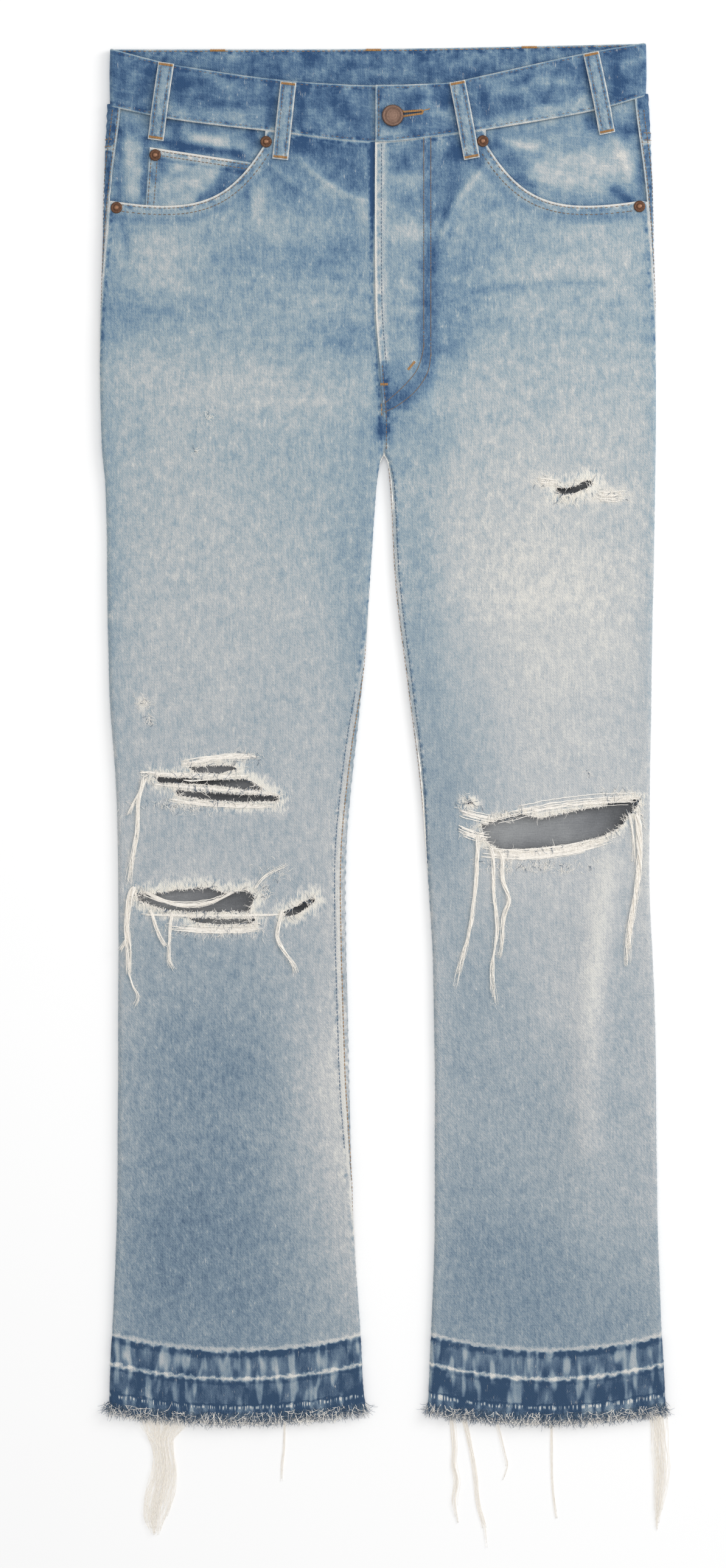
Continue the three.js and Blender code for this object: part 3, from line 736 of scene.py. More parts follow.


# Wash: how far the indigo is worn away, from 0 to 1, down each leg and then in soft spots. Some of it is
# painted shade: the spot at (5, 285) on the centre seam, and the shadows beside the fly edge and below the
# pocket mouths
washDown = {
    "right": [
        (0, 0.3), (75, 0.42), (130, 0.54), (200, 0.52), (262, 0.64), (330, 0.62), (450, 0.68), (560, 0.68),
        (640, 0.66), (720, 0.56), (850, 0.47), (930, 0.42), (1010, 0.42),
    ],
    "left": [
        (0, 0.32), (75, 0.48), (130, 0.58), (200, 0.6), (262, 0.68), (330, 0.72), (450, 0.8), (560, 0.78),
        (640, 0.74), (720, 0.66), (850, 0.6), (930, 0.52), (1010, 0.48),
    ],
}
washAndShadeSpots = [  # x, down, half width, half height, amount and, unless it is 0, turn in degrees
    (-17, 106, 13, 14, -0.3, 25), (-69, 116, 13, 14, -0.2, 30), (-92, 118, 5, 24, 0.2),
    (-102, 122, 3, 14, -0.15), (-168, 166, 24, 24, 0.14), (-105, 166, 30, 18, -0.08),
    (-45, 167, 34, 16, -0.16, 5), (-42, 200, 38, 9, 0.1, 3), (-28, 234, 26, 20, -0.2),
    (-183, 206, 28, 20, -0.12), (-140, 264, 70, 18, 0.06), (-60, 279, 20, 4, 0.04, 2),
    (-22, 300, 20, 40, -0.04), (-24, 420, 22, 80, -0.08), (-130, 430, 50, 110, 0.05),
    (-165, 340, 40, 36, 0.07), (-26, 850, 42, 170, 0.36), (-150, 650, 34, 26, 0.06),
    # (5, 285, 6, 22, -0.22) is painted shade along the centre seam below the fly
    (-36, 84, 30, 15, -0.34), (66, 86, 16, 18, -0.24), (30, 300, 30, 14, -0.14), (5, 285, 6, 22, -0.22),
    (-165, 188, 26, 12, 0.08), (-94, 116, 12, 16, -0.1), (38, 200, 6, 60, -0.14), (-125, 800, 40, 45, -0.1),
    (-150, 930, 50, 50, -0.08), (52, 100, 8, 24, -0.24, 10), (75, 158, 34, 14, -0.08),
    (66, 545, 34, 90, -0.15), (190, 910, 28, 60, 0.1), (160, 830, 20, 110, 0.06), (20, 225, 14, 34, -0.12),
    (18, 268, 20, 20, -0.2), (-62, 76, 11, 9, -0.42), (-20, 121, 10, 8, -0.12), (-22, 152, 14, 14, -0.18),
    (-28, 194, 14, 8, -0.1), (65, 83, 7, 7, -0.2), (34, 82, 7, 7, -0.16), (3, 246, 5, 10, -0.14),
    (-38, 70, 14, 6, -0.16), (-78, 98, 9, 9, -0.24), (-62, 112, 10, 8, -0.16, 30), (-36, 104, 9, 6, -0.14),
    (-36, 131, 22, 7, -0.16, 4), (20, 92, 10, 14, -0.16), (20, 121, 10, 7, -0.1), (35, 128, 8, 6, -0.1),
    (51, 132, 8, 8, -0.16), (50, 158, 7, 26, -0.12), (72, 80, 14, 9, -0.26), (95, 68, 8, 6, -0.16),
    (83, 95, 6, 6, -0.12), (90, 124, 18, 8, -0.16, 20), (66, 106, 5, 6, -0.18), (170, 132, 24, 4.5, -0.26),
    (72, 174, 14, 14, -0.12), (62, 236, 14, 24, -0.12), (37, 246, 5, 18, -0.12), (4, 266, 5, 16, -0.3),
    (4, 302, 5, 8, -0.46), (20, 276, 8, 5, -0.1), (20, 326, 12, 12, -0.1), (48, 312, 12, 20, -0.1),
    (45, 620, 24, 60, -0.16), (38, 800, 12, 140, -0.08), (145, 735, 36, 50, 0.09),
    (134, 342, 13, 4, 0.26, 8), (180, 351, 15, 5.5, 0.3), (-184, 516, 4, 7, 0.34), (-125, 690, 34, 7, 0.1),
    (38, 440, 16, 150, -0.06), (24, 100, 14, 30, -0.08), (57, 124, 6, 22, -0.36, 12),
    (45, 165, 2.6, 14, -0.3), (66, 200, 26, 22, -0.14), (55, 234, 14, 16, -0.16), (178, 170, 40, 50, 0.12),
    (38, 304, 18, 4, 0.08), (130, 430, 50, 110, 0.08), (34, 440, 20, 110, -0.14),
    (172, 700, 12, 80, 0.14, 3), (110, 655, 50, 30, 0.06), (75, 760, 32, 80, -0.06),
    (100, 960, 60, 40, -0.06), (23, 105, 10, 5, 0.22), (23, 91, 10, 8, -0.16), (23, 123, 11, 11, -0.1),
    (30, 147, 16, 8, 0.24), (24, 168, 10, 12, -0.04), (25, 189, 7, 4, 0.2), (24, 209, 9, 5, 0.16),
    (22, 236, 10, 7, 0.1), (20, 258, 9, 5, 0.06),
]
# Creases as soft ridges: their path, half width, height and how much more the ridge is worn
creases = [
    ([(-60.5, 87.5), (-52.5, 97.9), (-38.8, 108.4), (-22.7, 118), (-8, 122)], 2.6, 0.9, 0.26),
    ([(-18, 122), (-6.6, 135), (-2.6, 149.4)], 5, 0.5, 0.12),
    ([(-81.4, 94.7), (-69.4, 104.4), (-58.1, 112.4)], 2.2, 0.5, 0.18),
    ([(87.1, 91.5), (77.4, 102.8), (62.9, 120.5), (55.7, 136.6), (51, 148.7)], 2.6, 0.9, 0.24),
    ([(70, 185), (97, 180), (113, 177), (176, 176)], 5, 0.4, 0.08),
    ([(75, 193), (111, 188), (140, 185), (176, 187)], 2.4, -0.4, -0.12),
    ([(80, 211), (110, 207), (150, 207)], 4, 0.3, 0.06),
    ([(-120, 283), (-77, 278), (-42, 279)], 3, 0.3, 0.06),
    ([(-200, 138), (-197, 150), (-196, 166)], 2.6, -0.4, -0.16),
    ([(185, 640), (174, 690), (167, 760), (165, 860)], 9, 0.8, 0.12),
]
knee = {"height": 2.2, "width": 24, "top": 640, "full": 700, "fade": 820, "end": 1000,
        "upperX": 185, "lowerX": 165, "turn": 620, "turned": 760}


markReach = 2.2  # half widths to where a mark or a crease ends, and the same for a spot
spotReach = 2.3


def spotted(x, down):
    total = 0.0
    for spotX, spotDown, wide, tall, amount, *turn in washAndShadeSpots:
        dx, dd = x - spotX, down - spotDown
        reach = spotReach * max(wide, tall)
        if abs(dx) < reach and abs(dd) < reach:
            angle = math.radians(turn[0] if turn else 0)
            c, s = math.cos(angle), math.sin(angle)
            total += amount * bell((dx * c + dd * s) / wide) * bell((dd * c - dx * s) / tall)
    return total


def marked(marks, x, down):
    # sum of marks: path, half width, amount and, unless it is 2, how sharp the sides are
    total = 0.0
    for path, width, amount, *sharpness in marks:
        distance = pathDistance(path, x, down, markReach * width)
        if distance < markReach * width:
            power = sharpness[0] if sharpness else 2
            total += amount * math.exp(-((distance / width) ** power))
    return total


def creased(x, down, what):
    total = 0.0
    for path, width, height, wash in creases:
        distance = pathDistance(path, x, down, markReach * width)
        if distance < markReach * width:
            total += (height if what == "height" else wash) * bell(distance / width)
    return total


legFade = {  # a leg's edges against its middle: amounts and half widths above the knee and below it
    "from": 480, "to": 640,
    "outer": (-0.1, 0.1), "outerWidth": (10, 16),
    "inner": (-0.08, 0.08), "innerWidth": (20, 12),
}
flyShadowAndFade = {  # the painted shadow in the gap beside the fly edge, its pale strip and the dark line inside its stitching
    "gap": (0.9, 0.2), "gapEnd": (135, 165), "gapPlace": -1.4, "gapWidth": 2.2,
    "strip": 0.68, "stripEnd": (244, 252),
    "line": 0.24, "lineWidth": (5, 9), "lineWiden": (140, 230),
}


def frontWashAndShade(side, x, down):
    leg = legs[side]
    fromEdge = x - follow(flyEdge, down)
    tone = follow(washDown[side], down) + spotted(x, down) + creased(x, down, "wash")
    low = smoothstep(legFade["from"], legFade["to"], down)
    for edge in ("outer", "inner"):
        if edge == "outer" or down > garment["crotch"] - 30:
            away = x - follow(leg[edge], down)
            tone += mix(*legFade[edge], low) * bell(away / mix(*legFade[edge + "Width"], low))
    if down < 140:
        # painted shadow: a darker band just past the doubled hem along the pocket mouth
        tone -= 0.16 * bell((pathDistance(scoops[side], x, down, 22) - 11.5) / 3.6)
    # painted shadow in the gap where the left fly laps over the right front
    if side == "right" and down < 250:
        gap = mix(*flyShadowAndFade["gap"], smoothstep(*flyShadowAndFade["gapEnd"], down))
        tone -= gap * bell((fromEdge - flyShadowAndFade["gapPlace"]) / flyShadowAndFade["gapWidth"])
    if side == "left":
        tone -= 0.05 * bell((down - 185) / 75) + 0.11 * bell((x - 12) / 16) * bell((down - 278) / 34)
    if side == "left" and down < 286:
        fade = 1 - smoothstep(*flyShadowAndFade["stripEnd"], down)
        strip = (1 - smoothstep(flyStitch["strip"] - 1, flyStitch["strip"] + 0.6, fromEdge)) * fade
        tone = mix(tone, flyShadowAndFade["strip"], strip)
        width = mix(*flyShadowAndFade["lineWidth"], smoothstep(*flyShadowAndFade["lineWiden"], down))
        tone -= flyShadowAndFade["line"] * bell(pathDistance(flyLine, x + 1.5, down, 24) / width)
    return tone


def hemRelief(down):
    # the ridge of the old fold, and the grooves of the old seam and the needle holes
    lines = ((hemLines["oldFold"], 0.45), (hemLines["oldSeam"], -0.25), (hemLines["needles"], -0.2))
    return sum(depth * bell((down - line) / 1.8) for line, depth in lines if abs(down - line) < 6)


def frontRelief(side, x, down):
    height = creased(x, down, "height")
    ridgeX = mix(knee["upperX"], knee["lowerX"], smoothstep(knee["turn"], knee["turned"], down))
    along = smoothstep(knee["top"], knee["full"], down) * (1 - smoothstep(knee["fade"], knee["end"], down))
    height += knee["height"] * bell((x - ridgeX) / knee["width"]) * along
    height += 0.45 * ripple(x / 55, down / 70, 2) + 0.16 * ripple(x / 17, down / 21, 5)
    rip = fromRips(side, x, down)
    if rip < tear["reach"]:
        height += tear["curl"] * bell(rip / 5) * (0.4 + 0.9 * ripple(x / 9, down / 7, 9))
    if down < 140:
        mouth = pathDistance(scoops[side], x, down, 12)
        if mouth < 12:
            height += 0.35 * (1 - smoothstep(scoopHem - 0.5, scoopHem + 0.7, mouth))
            height += 0.22 * ripple(x / 3.4, down / 3.4, 4) * bell((mouth - 4.5) / 4)
    if side == "left" and down < 300:
        height += flyStitch["raise"] * (1 - smoothstep(36, 46, x)) * (1 - smoothstep(280, 300, down))
        height += 0.25 * ripple(x / 4, down / 5, 6) * bell((x - 22) / 16)
    height += hemRelief(down)
    if down > hemLines["oldSeam"]:
        height += 0.5 * ripple(x / 11, down / 40, 8)
    return height


def layOn(side, face, u, down, height):
    # a point of a ply moved out by height from its flat place
    x, z, outX, outZ = plyPoint(side, face, u, down)
    return x + outX * height, down + smile(side, x, down), z + outZ * height


def frontShape(side):
    return lambda u, down: layOn(side, 1, u, down, frontRelief(side, u, down))


def backRelief(side, u, down):
    height = 0.5 * ripple(u / 60, down / 75, 12) + 0.16 * ripple(u / 17, down / 21, 15)
    crotch = abs(down - garment["crotch"] - 0.3 * abs(u - 5))
    height += 0.5 * bell(crotch / 14) * bell((abs(u - 5) - 55) / 45)
    height += hemRelief(down)
    return min(height, liftAt(down) * 0.5 + 0.15)


def backShape(side):
    return lambda u, down: layOn(side, -1, u, down, backRelief(side, u, down))


def cutCloth(name, outline, holes, spacing, shape, tone, faceUp, materials, thickness):
    # a ply cut to an outline of (u, down) with holes in it, filled with even triangles. shape lays each point
    # at its x, down and z, and tone gives its numbers for the materials
    top, bottom = boxOf(outline)[2:]
    loops = [outline] + holes
    points = [p for loop in loops for p in loop]
    loopOf = [k for k, loop in enumerate(loops) for _ in loop]
    edges, first = [], 0
    for loop in loops:
        edges += [(first + k, first + (k + 1) % len(loop)) for k in range(len(loop))]
        first += len(loop)
    sides = [(loop[k - 1], loop[k]) for loop in loops for k in range(len(loop))]
    rowStep = spacing * math.sqrt(3) / 2
    margin = spacing * 0.45
    for i in range(1, int((bottom - top) / rowStep) + 1):
        down = top + i * rowStep
        cuts = sorted(ax + (bx - ax) * (down - ad) / (bd - ad) for (ax, ad), (bx, bd) in sides
                      if (ad > down) != (bd > down))
        offset = 0.5 * spacing * (i % 2)
        for start, end in zip(cuts[::2], cuts[1::2]):
            u = math.ceil((start + margin - offset) / spacing) * spacing + offset
            while u < end - margin:
                points.append((u, down))
                u += spacing
    flat, _, triangles = geometry.delaunay_2d_cdt([Vector(p) for p in points], edges, [], 1, 1e-4)[:3]
    kept = []
    for corners in triangles:
        onLoop = {loopOf[k] if k < len(loopOf) else -1 for k in corners}
        if len(onLoop) == 1 and -1 not in onLoop:
            x = sum(flat[k].x for k in corners) / 3
            down = sum(flat[k].y for k in corners) / 3
            k = onLoop.pop()
            if insideOutline(loops[k], x, down) != (k == 0):
                continue
        kept.append(tuple(reversed(corners)) if faceUp else tuple(corners))
    laid = [shape(p.x, p.y) for p in flat]
    piece = makeMesh(name, [toWorld(*p) for p in laid], kept, materials)
    paint(piece, [tone(p.x, p.y, place) for p, place in zip(flat, laid)])
    finishWith(piece, "SOLIDIFY", thickness=thickness / 1000, offset=-1, material_offset=1,
               material_offset_rim=len(materials) - 1)
    for vertex in piece.data.vertices:
        vertex.co.z = max(vertex.co.z, cloth["lowest"] / 1000)
    shadeSmooth(55)
    return piece


cloth = {
    "frontSpacing": 2.7,
    "backSpacing": 4.6,
    "edgeStep": 2.6,
    "tuck": 2.2,  # how far the panels run up under the waistband
    "underlap": 12.0,  # how far the right front runs under the fly
    "underlapEnd": (243.0, 258.0),
    "worn": 14.0,  # nothing reads a distance past this
    "lowest": -0.05,
}
frontPly = ([denimFront, wrongSide, creamThread], garment["ply"])  # faces and thickness
backPly = ([denimBack, wrongSide, creamThread], garment["ply"])
sheets = []


def layCloth(piece, node, outline, restsOn=()):
    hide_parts(node)
    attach(piece, "root")
    left, right, top, bottom = boxOf(outline)
    sheets.append({
        "piece": piece, "flat": ((right - left) / 1000, (bottom - top) / 1000), "area": areaOf(outline) / 1e6,
        "restsOn": list(restsOn),
    })
    return piece


def underlapAt(down):
    return cloth["underlap"] * (1 - smoothstep(*cloth["underlapEnd"], down))


def frontOutline(side):
    inward = legs[side]["inward"]
    hem, step = garment["hem"], cloth["edgeStep"]

    def inner(down):
        return innerSeam(side, 1, down) + (underlapAt(down) if side == "right" else 0)

    mouth = scoops[side]
    top = bandBottom(mouth[0][0], 1) - cloth["tuck"]
    outer = downLine(lambda down: outerSeam(side, 1, down), 122.5, hem, step)
    hemLine = evenly([(outer[-1][0], hem), (inner(hem), hem)], step)
    centreTop = bandBottom(inner(70), 1) - cloth["tuck"]
    centre = downLine(inner, hem, centreTop, step)
    across = spaced(centre[-1][0], mouth[0][0], step)[1:-1]
    band = [(x, bandBottom(x, 1) - cloth["tuck"]) for x in across]
    scoopLine = [(mouth[0][0], top)] + evenly(mouth, step)[1:-1]
    scoopLine = [(x, d) for x, d in scoopLine if inward * (x - outerSeam(side, 1, d)) > 1.2]
    return outer + hemLine[1:-1] + centre + band + scoopLine


def frontTone(side):
    inward = legs[side]["inward"]

    def tone(u, down, place):
        edges = [inward * (u - outerSeam(side, 1, down)), abs(innerSeam(side, 1, down) - u),
                 down - bandBottom(u, 1) + 1, cloth["worn"]]
        if down < 140:
            edges.append(pathDistance(scoops[side], u, down, cloth["worn"]))
        bareness = tear["bareness"]["thigh" if down < tear["thighEnd"] else side]
        return numbersAt(frontWashAndShade(side, u, down), min(edges), down, fromRips(side, u, down) * bareness, 0.6)

    return tone


frontOutlines, frontPieces, backPieces = {}, {}, {}
for side in legs:
    frontOutlines[side] = frontOutline(side)
    frontPieces[side] = cutCloth(f"front_panel_{side}_denim", frontOutlines[side], tornEdges[side],
                                 cloth["frontSpacing"], frontShape(side), frontTone(side), True, *frontPly)
print("front panels are cut")


def backWash(side, x, down):
    # the back is worn over the seat and the thighs, and less at the knee pits
    mid = (follow(legs[side]["outer"], down) + follow(legs[side]["inner"], max(down, 345))) / 2
    tone = follow([(40, 0.34), (100, 0.5), (200, 0.62), (300, 0.5), (420, 0.58), (600, 0.46), (760, 0.54),
                   (1010, 0.44)], down)
    tone += 0.16 * bell((x - mid) / 60) * smoothstep(100, 160, down)
    tone -= 0.12 * bell((down - 335 - 0.2 * abs(x)) / 18)
    tone += 0.1 * ripple(x / 40, down / 14, 3) * bell((down - 600) / 60)
    return tone - 0.1 * bell((x - follow(legs[side]["outer"], down)) / 10)


ripPaintedShade = [  # painted shade inside the rips, on the wrong side of the back ply seen through them: x, down, half width, half height, amount
    (-140, 576, 46, 5, -0.5), (-112, 588, 46, 5, -0.5), (-60, 673, 16, 9, -0.5), (-106, 670, 22, 12, -0.26),
    (-150, 668, 40, 10, -0.14), (196, 600, 30, 26, -0.42), (120, 628, 60, 8, -0.1), (152, 347, 20, 6, -0.55),
    (-125, 685, 40, 5, 0.1),
]


def backTone(side, seam):
    # seam gives the down of the cut upper or lower edge at u
    inward = legs[side]["inward"]

    def tone(u, down, place):
        edges = [inward * (u - outerSeam(side, -1, down)), abs(innerSeam(side, -1, down) - u),
                 abs(down - seam(u)), cloth["worn"]]
        # shade starts as the wrong side's own paleness, and the table above lowers it with painted shade in
        # the rips
        shade = 0.62 + 0.1 * ripple(u / 30, down / 20, 1)
        for shadeX, shadeDown, wide, tall, amount in ripPaintedShade:
            shade += amount * bell((u - shadeX) / wide) * bell((down - shadeDown) / tall)
        onFront = smoothstep(2.6, 5.0, place[2])
        dark = 0.16 * onFront * (1 - smoothstep(118, 130, down))
        wash = mix(backWash(side, place[0], down), frontWashAndShade(side, place[0], down), onFront)
        return numbersAt(wash - dark, min(edges), down, inside=shade)

    return tone


def lineAcross(line, side, face, step):
    # points along a line across the garment, from the outer seam to the centre. line gives down at x
    start = outerSeam(side, face, line(follow(legs[side]["outer"], 60)))
    return [(x, line(x)) for x in spaced(start, centreAt(face, line(0)), step)]


def sideFront(side, u, down):
    # how far up the fold a point of the unrolled back lies: 0 underneath, 1 on the front
    distance = legs[side]["inward"] * (u - follow(legs[side]["outer"], down))
    return (1 - math.cos(clamp((fold - distance) / fold, 0, math.pi))) / 2


def backLine(line, side):
    # a line of the back on the unrolled cloth
    return lambda u: line(u, sideFront(side, u, 80))


for side in legs:
    inward = legs[side]["inward"]
    step, hem = cloth["edgeStep"], garment["hem"]
    yokeAt, bandAt = backLine(yokeLine, side), backLine(bandBottom, side)
    upper = lineAcross(lambda u: yokeAt(u) + 0.3, side, -1, step)
    outer = downLine(lambda down: outerSeam(side, -1, down), hem, upper[0][1], step)
    centre = downLine(lambda down: innerSeam(side, -1, down), upper[-1][1], hem, step)
    hemLine = evenly([centre[-1], outer[0]], step)
    outline = upper + centre[1:] + hemLine[1:-1] + outer[:-1]
    panel = cutCloth(f"back_panel_{side}_denim", outline, [], cloth["backSpacing"], backShape(side),
                     backTone(side, yokeAt), False, *backPly)
    backPieces[side] = layCloth(panel, f"back_panel_{side}", outline)
    band = lineAcross(lambda u: bandAt(u) - cloth["tuck"], side, -1, step)
    lower = lineAcross(yokeAt, side, -1, step)
    outer = downLine(lambda down: outerSeam(side, -1, down), band[0][1], lower[0][1], step)
    centre = downLine(lambda down: innerSeam(side, -1, down), lower[-1][1], band[-1][1], step)
    outline = outer + lower[1:] + centre[1:] + band[-2:0:-1]
    yoke = cutCloth(f"yoke_{side}_denim", outline, [], cloth["backSpacing"], backShape(side),
                    backTone(side, yokeAt), False, *backPly)
    layCloth(yoke, f"yoke_{side}", outline, [panel.name])
    layCloth(frontPieces[side], f"front_panel_{side}", frontOutlines[side], [panel.name])
print("back panels and yokes are cut")


# Waistband: one folded strip from the right underlap round the back to the fly edge
band = {
    "top": 8.1,  # z of its front
    "radius": 3.3,
    "thickness": 2.5,
    "hips": {"right": -209.5, "left": 210.5},
    "underlap": 26.6,  # x of the right end, beneath the left one
    "dip": (-31.4, -11.4, -0.6),  # the right end dips beneath the left one between these
    "raise": (28.0, 54.0, 2.3),  # and the left end rises over it
    "step": 2.4,
    "rows": 18,
    "arc": 5,  # points round each of its edges
    "turns": 10,  # steps round each hip
    "wash": [(-40, 0.16), (0, 0.19), (30, 0.21), (60, 0.24)],
}
band["bottom"] = band["top"] - 2 * band["radius"]
bandMarks = [  # as marked takes them
    ([(-150, 55), (-118, 59), (-84, 63)], 7.5, 0.22, 4), ([(84, 62), (120, 55.5), (160, 47)], 6.5, 0.3, 4),
    ([(-155, 20), (-154, 48)], 5, -0.27), ([(-83, 30), (-84, 62)], 4, -0.26),
    ([(-67, 32), (-60, 36)], 6, -0.2), ([(-58, 30), (-60, 64)], 4, -0.26),
    ([(-34, 40), (-31, 48)], 8, -0.22), ([(-180, 20), (-186, 46)], 4, -0.12),
    ([(57, 36), (64, 64)], 3.5, -0.26), ([(82, 32), (86, 58)], 4, -0.28),
    ([(163, 14), (168, 36)], 4, -0.26), ([(185, 8), (190, 38)], 5, -0.26),
    ([(-148, 40), (-100, 49)], 2.6, -0.16), ([(-62, 33), (-48, 56), (-38, 66)], 3, 0.2),
    ([(-24, 30), (-18, 44)], 5, 0.1), ([(4, 69), (20, 70)], 3.4, 0.3), ([(-120, 66), (-60, 71)], 3.2, 0.12),
    ([(70, 70), (130, 62)], 3.2, 0.12), ([(40, 44), (46, 52), (58, 57)], 3, 0.2),
    ([(24, 44), (34, 40)], 5, -0.16), ([(88, 30), (104, 38), (120, 37)], 4, 0.2),
    ([(124, 24), (150, 30)], 4, 0.16), ([(112, 30), (118, 26)], 3.5, -0.2),
    ([(140, 22), (132, 42)], 3, -0.14), ([(-124, 30), (-104, 34)], 6, 0.12),
    ([(-140, 26), (-130, 32)], 5, -0.12), ([(192, 18), (204, 22)], 4, 0.1),
    ([(-201, 16), (-200, 38)], 6, -0.12), ([(-176, 22), (-168, 34)], 7, -0.14),
    ([(24, 52), (34, 60)], 7, -0.16), ([(30, 31), (42, 34)], 6, 0.2),
    ([(84, 22), (116, 24), (142, 34)], 7, 0.14), ([(166, 57), (174, 60)], 5, -0.22),
    ([(184, 58), (206, 52)], 6, -0.16), ([(-160, 44), (-152, 60)], 5, 0.14),
    ([(-36, 54), (-30, 62)], 5, 0.1), ([(-186, 52), (-184, 62)], 5, -0.2), ([(46, 32), (52, 46)], 5, -0.24),
    ([(-26, 54), (-14, 62)], 5, -0.2), ([(-50, 44), (-46, 58)], 4, -0.14),
    ([(106, 44), (112, 48)], 5, -0.14),
]


def bandPath():
    # stations as (x, z, outward x, outward z, share of front), at even steps
    stations = []

    def flat(start, end, z, facing):
        count = round(abs(end - start) / band["step"])
        for k in range(count):
            stations.append((mix(start, end, k / count), z, 0.0, facing, (1 + facing) / 2))

    def turn(edge, inward, start, end):
        for k in range(band["turns"]):
            angle = mix(start, end, k / band["turns"])
            stations.append((edge + inward * band["radius"] * (1 - math.cos(angle)),
                             band["bottom"] + band["radius"] * (1 + math.sin(angle)),
                             -inward * math.cos(angle), math.sin(angle), (1 + math.sin(angle)) / 2))

    right, left = band["hips"]["right"], band["hips"]["left"]
    flat(band["underlap"], right + band["radius"], band["top"], 1.0)
    turn(right, 1, math.pi / 2, -math.pi / 2)
    flat(right + band["radius"], left - band["radius"], band["bottom"], -1.0)
    turn(left, -1, -math.pi / 2, math.pi / 2)
    flat(left - band["radius"], garment["mirrorX"], band["top"], 1.0)
    stations.append((garment["mirrorX"], band["top"], 0.0, 1.0, 1.0))
    return stations


def bandRise(x, onLeft):
    # height of the front of the waistband above its own level where its ends lap
    start, end, amount = band["raise"] if onLeft else band["dip"]
    along = smoothstep(start, end, x)
    return amount * (1 - along if onLeft else along)


def bandRelief(x, down, front):
    top, bottom = bandTop(x, front), bandBottom(x, front)
    height = 0.32 * ripple(x / 9, down / 16, 4) + 0.3 * ripple(x / 26, down / 22, 14)
    across = (down - top) / (bottom - top)
    height += 0.35 * bell((across - 0.5) / 0.34) - 0.18
    for near in (down - top, bottom - down):
        height += 0.24 * ripple(x / 2.6, near / 4, 24) * bell((near - 2.4) / 2.2)
        height -= 0.25 * bell((near - 2.2) / 0.9)
    return height


def bandTone(x, down, front, depth):
    # wash of the waistband, with depth 0 on its outer face and its thickness on the inner one
    half = band["thickness"] / 2
    if depth > half:
        return 0.2 + 0.2 * ripple(x / 15, down / 15, 33) + 0.22 * ripple(x / 5, down / 6, 37)
    tone = follow(band["wash"], down) if front > 0.5 else 0.3
    if front > 0.5 and depth < half:
        tone += 0.85 * marked(bandMarks, x, down) + 0.13 * ripple(x / 7, down / 9, 31)
        tone += 0.16 * ripple(x / 26 + down / 30, down / 8, 35)
    return tone


def makeWaistband():
    stations = bandPath()
    vertices, values = [], []
    half, rows = band["thickness"] / 2, band["rows"]
    angles = [math.pi * j / (band["arc"] + 1) for j in range(1, band["arc"] + 1)]
    for k, (x, z, outX, outZ, front) in enumerate(stations):
        onLeft = k > len(stations) / 2
        top, bottom = bandTop(x, front), bandBottom(x, front)
        if outZ > 0.99:
            z += bandRise(x, onLeft)
        section = [(mix(top + half, bottom - half, j / rows), 0.0) for j in range(rows + 1)]
        section += [(bottom - half + half * math.sin(a), half * (1 - math.cos(a))) for a in angles]
        section += [(mix(bottom - half, top + half, j / rows), 2 * half) for j in range(rows + 1)]
        section += [(top + half - half * math.sin(a), half * (1 + math.cos(a))) for a in angles]
        edgeOn = min(x - garment["mirrorX"], 30) if onLeft and front == 1 else 30
        for down, depth in section:
            height = bandRelief(x, down, front) * (1 - depth / half)
            height -= 0.5 * bell(edgeOn / 1.2)
            vertices.append(toWorld(x + outX * (height - depth), down, z + outZ * (height - depth)))
            edge = min(down - top + 0.4, bottom - down + 0.4, edgeOn + 0.4, cloth["worn"])
            values.append(numbersAt(bandTone(x, down, front, depth), edge, inside=0.3))
    piece = makeMesh("waistband_denim", vertices, tubeFaces(len(stations), len(section)), [denimFront])
    paint(piece, values)
    return piece


buttonhole = {"eyeX": 6.0, "eyeRise": 1.4, "radius": 2.4, "slot": 0.7, "reach": 23.0, "rise": 3.2}


def keyhole(grow):
    # outline of the buttonhole as (x, down), larger by grow
    x, down = garment["buttonX"], garment["buttonDown"]
    radius, slot = buttonhole["radius"] + grow, buttonhole["slot"] + grow
    outline = []
    for k in range(13):
        angle = mix(0.1, 0.9, k / 12) * 2 * math.pi
        outline.append((x + buttonhole["eyeX"] + radius * math.cos(angle),
                        down - buttonhole["eyeRise"] + radius * math.sin(angle)))
    end = x + buttonhole["reach"] + grow
    return outline + [(end, down - buttonhole["rise"] - slot), (end, down - buttonhole["rise"] + slot)]


def cutButtonhole(piece):
    outline = keyhole(0)
    low, high = band["top"] + 0.1, band["top"] + 8
    vertices = [toWorld(x, down, z) for z in (low, high) for x, down in outline]
    n = len(outline)
    faces = [tuple(range(n)), tuple(reversed(range(n, 2 * n)))]
    faces += [(k, k + n, (k + 1) % n + n, (k + 1) % n) for k in range(n)]
    cutter = makeMesh("buttonhole_cutter", vertices, faces, [])
    faceOut(cutter)
    finishWith(piece, "BOOLEAN", operation="DIFFERENCE", object=cutter, solver="EXACT")
    bpy.data.objects.remove(cutter, do_unlink=True)


waistband = makeWaistband()
faceOut(waistband)
shadeSmooth(50)
cutButtonhole(waistband)
bandLength = len(bandPath()) * band["step"]
layCloth(waistband, "waistband", [(0, 0), (bandLength, 0), (bandLength, 44), (0, 44)],
         [piece.name for piece in frontPieces.values()])
print("waistband is folded")


# Belt loops: ends as (x, down), and z of the cloth under the lower end
loop = {
    "width": 12.5, "cut": 62.0, "thickness": 1.5,
    "slack": 1.7,  # how far it stands off the waistband
    "rim": 0.45, "endRim": 0.35,  # how much thinner it is at its sides and ends
    "rows": 34, "columns": 12,
    "facingZ": 4.9,
    "backLength": 60.0,
}
frontZ = garment["seatLift"] + 2 * fold
frontLoops = {
    "right_outer": {"top": (-165, 14.0), "end": (-173.5, 73.8), "under": loop["facingZ"]},
    "right_inner": {"top": (-69.5, 29.0), "end": (-76, 89.3), "under": frontZ},
    "left_inner": {"top": (62.5, 28.5), "end": (74, 88.8), "under": frontZ},
    "left_outer": {"top": (167, 6.0), "end": (180, 68.8), "under": loop["facingZ"]},
}
backLoops = {"right": -125, "centre": -3, "left": 119}


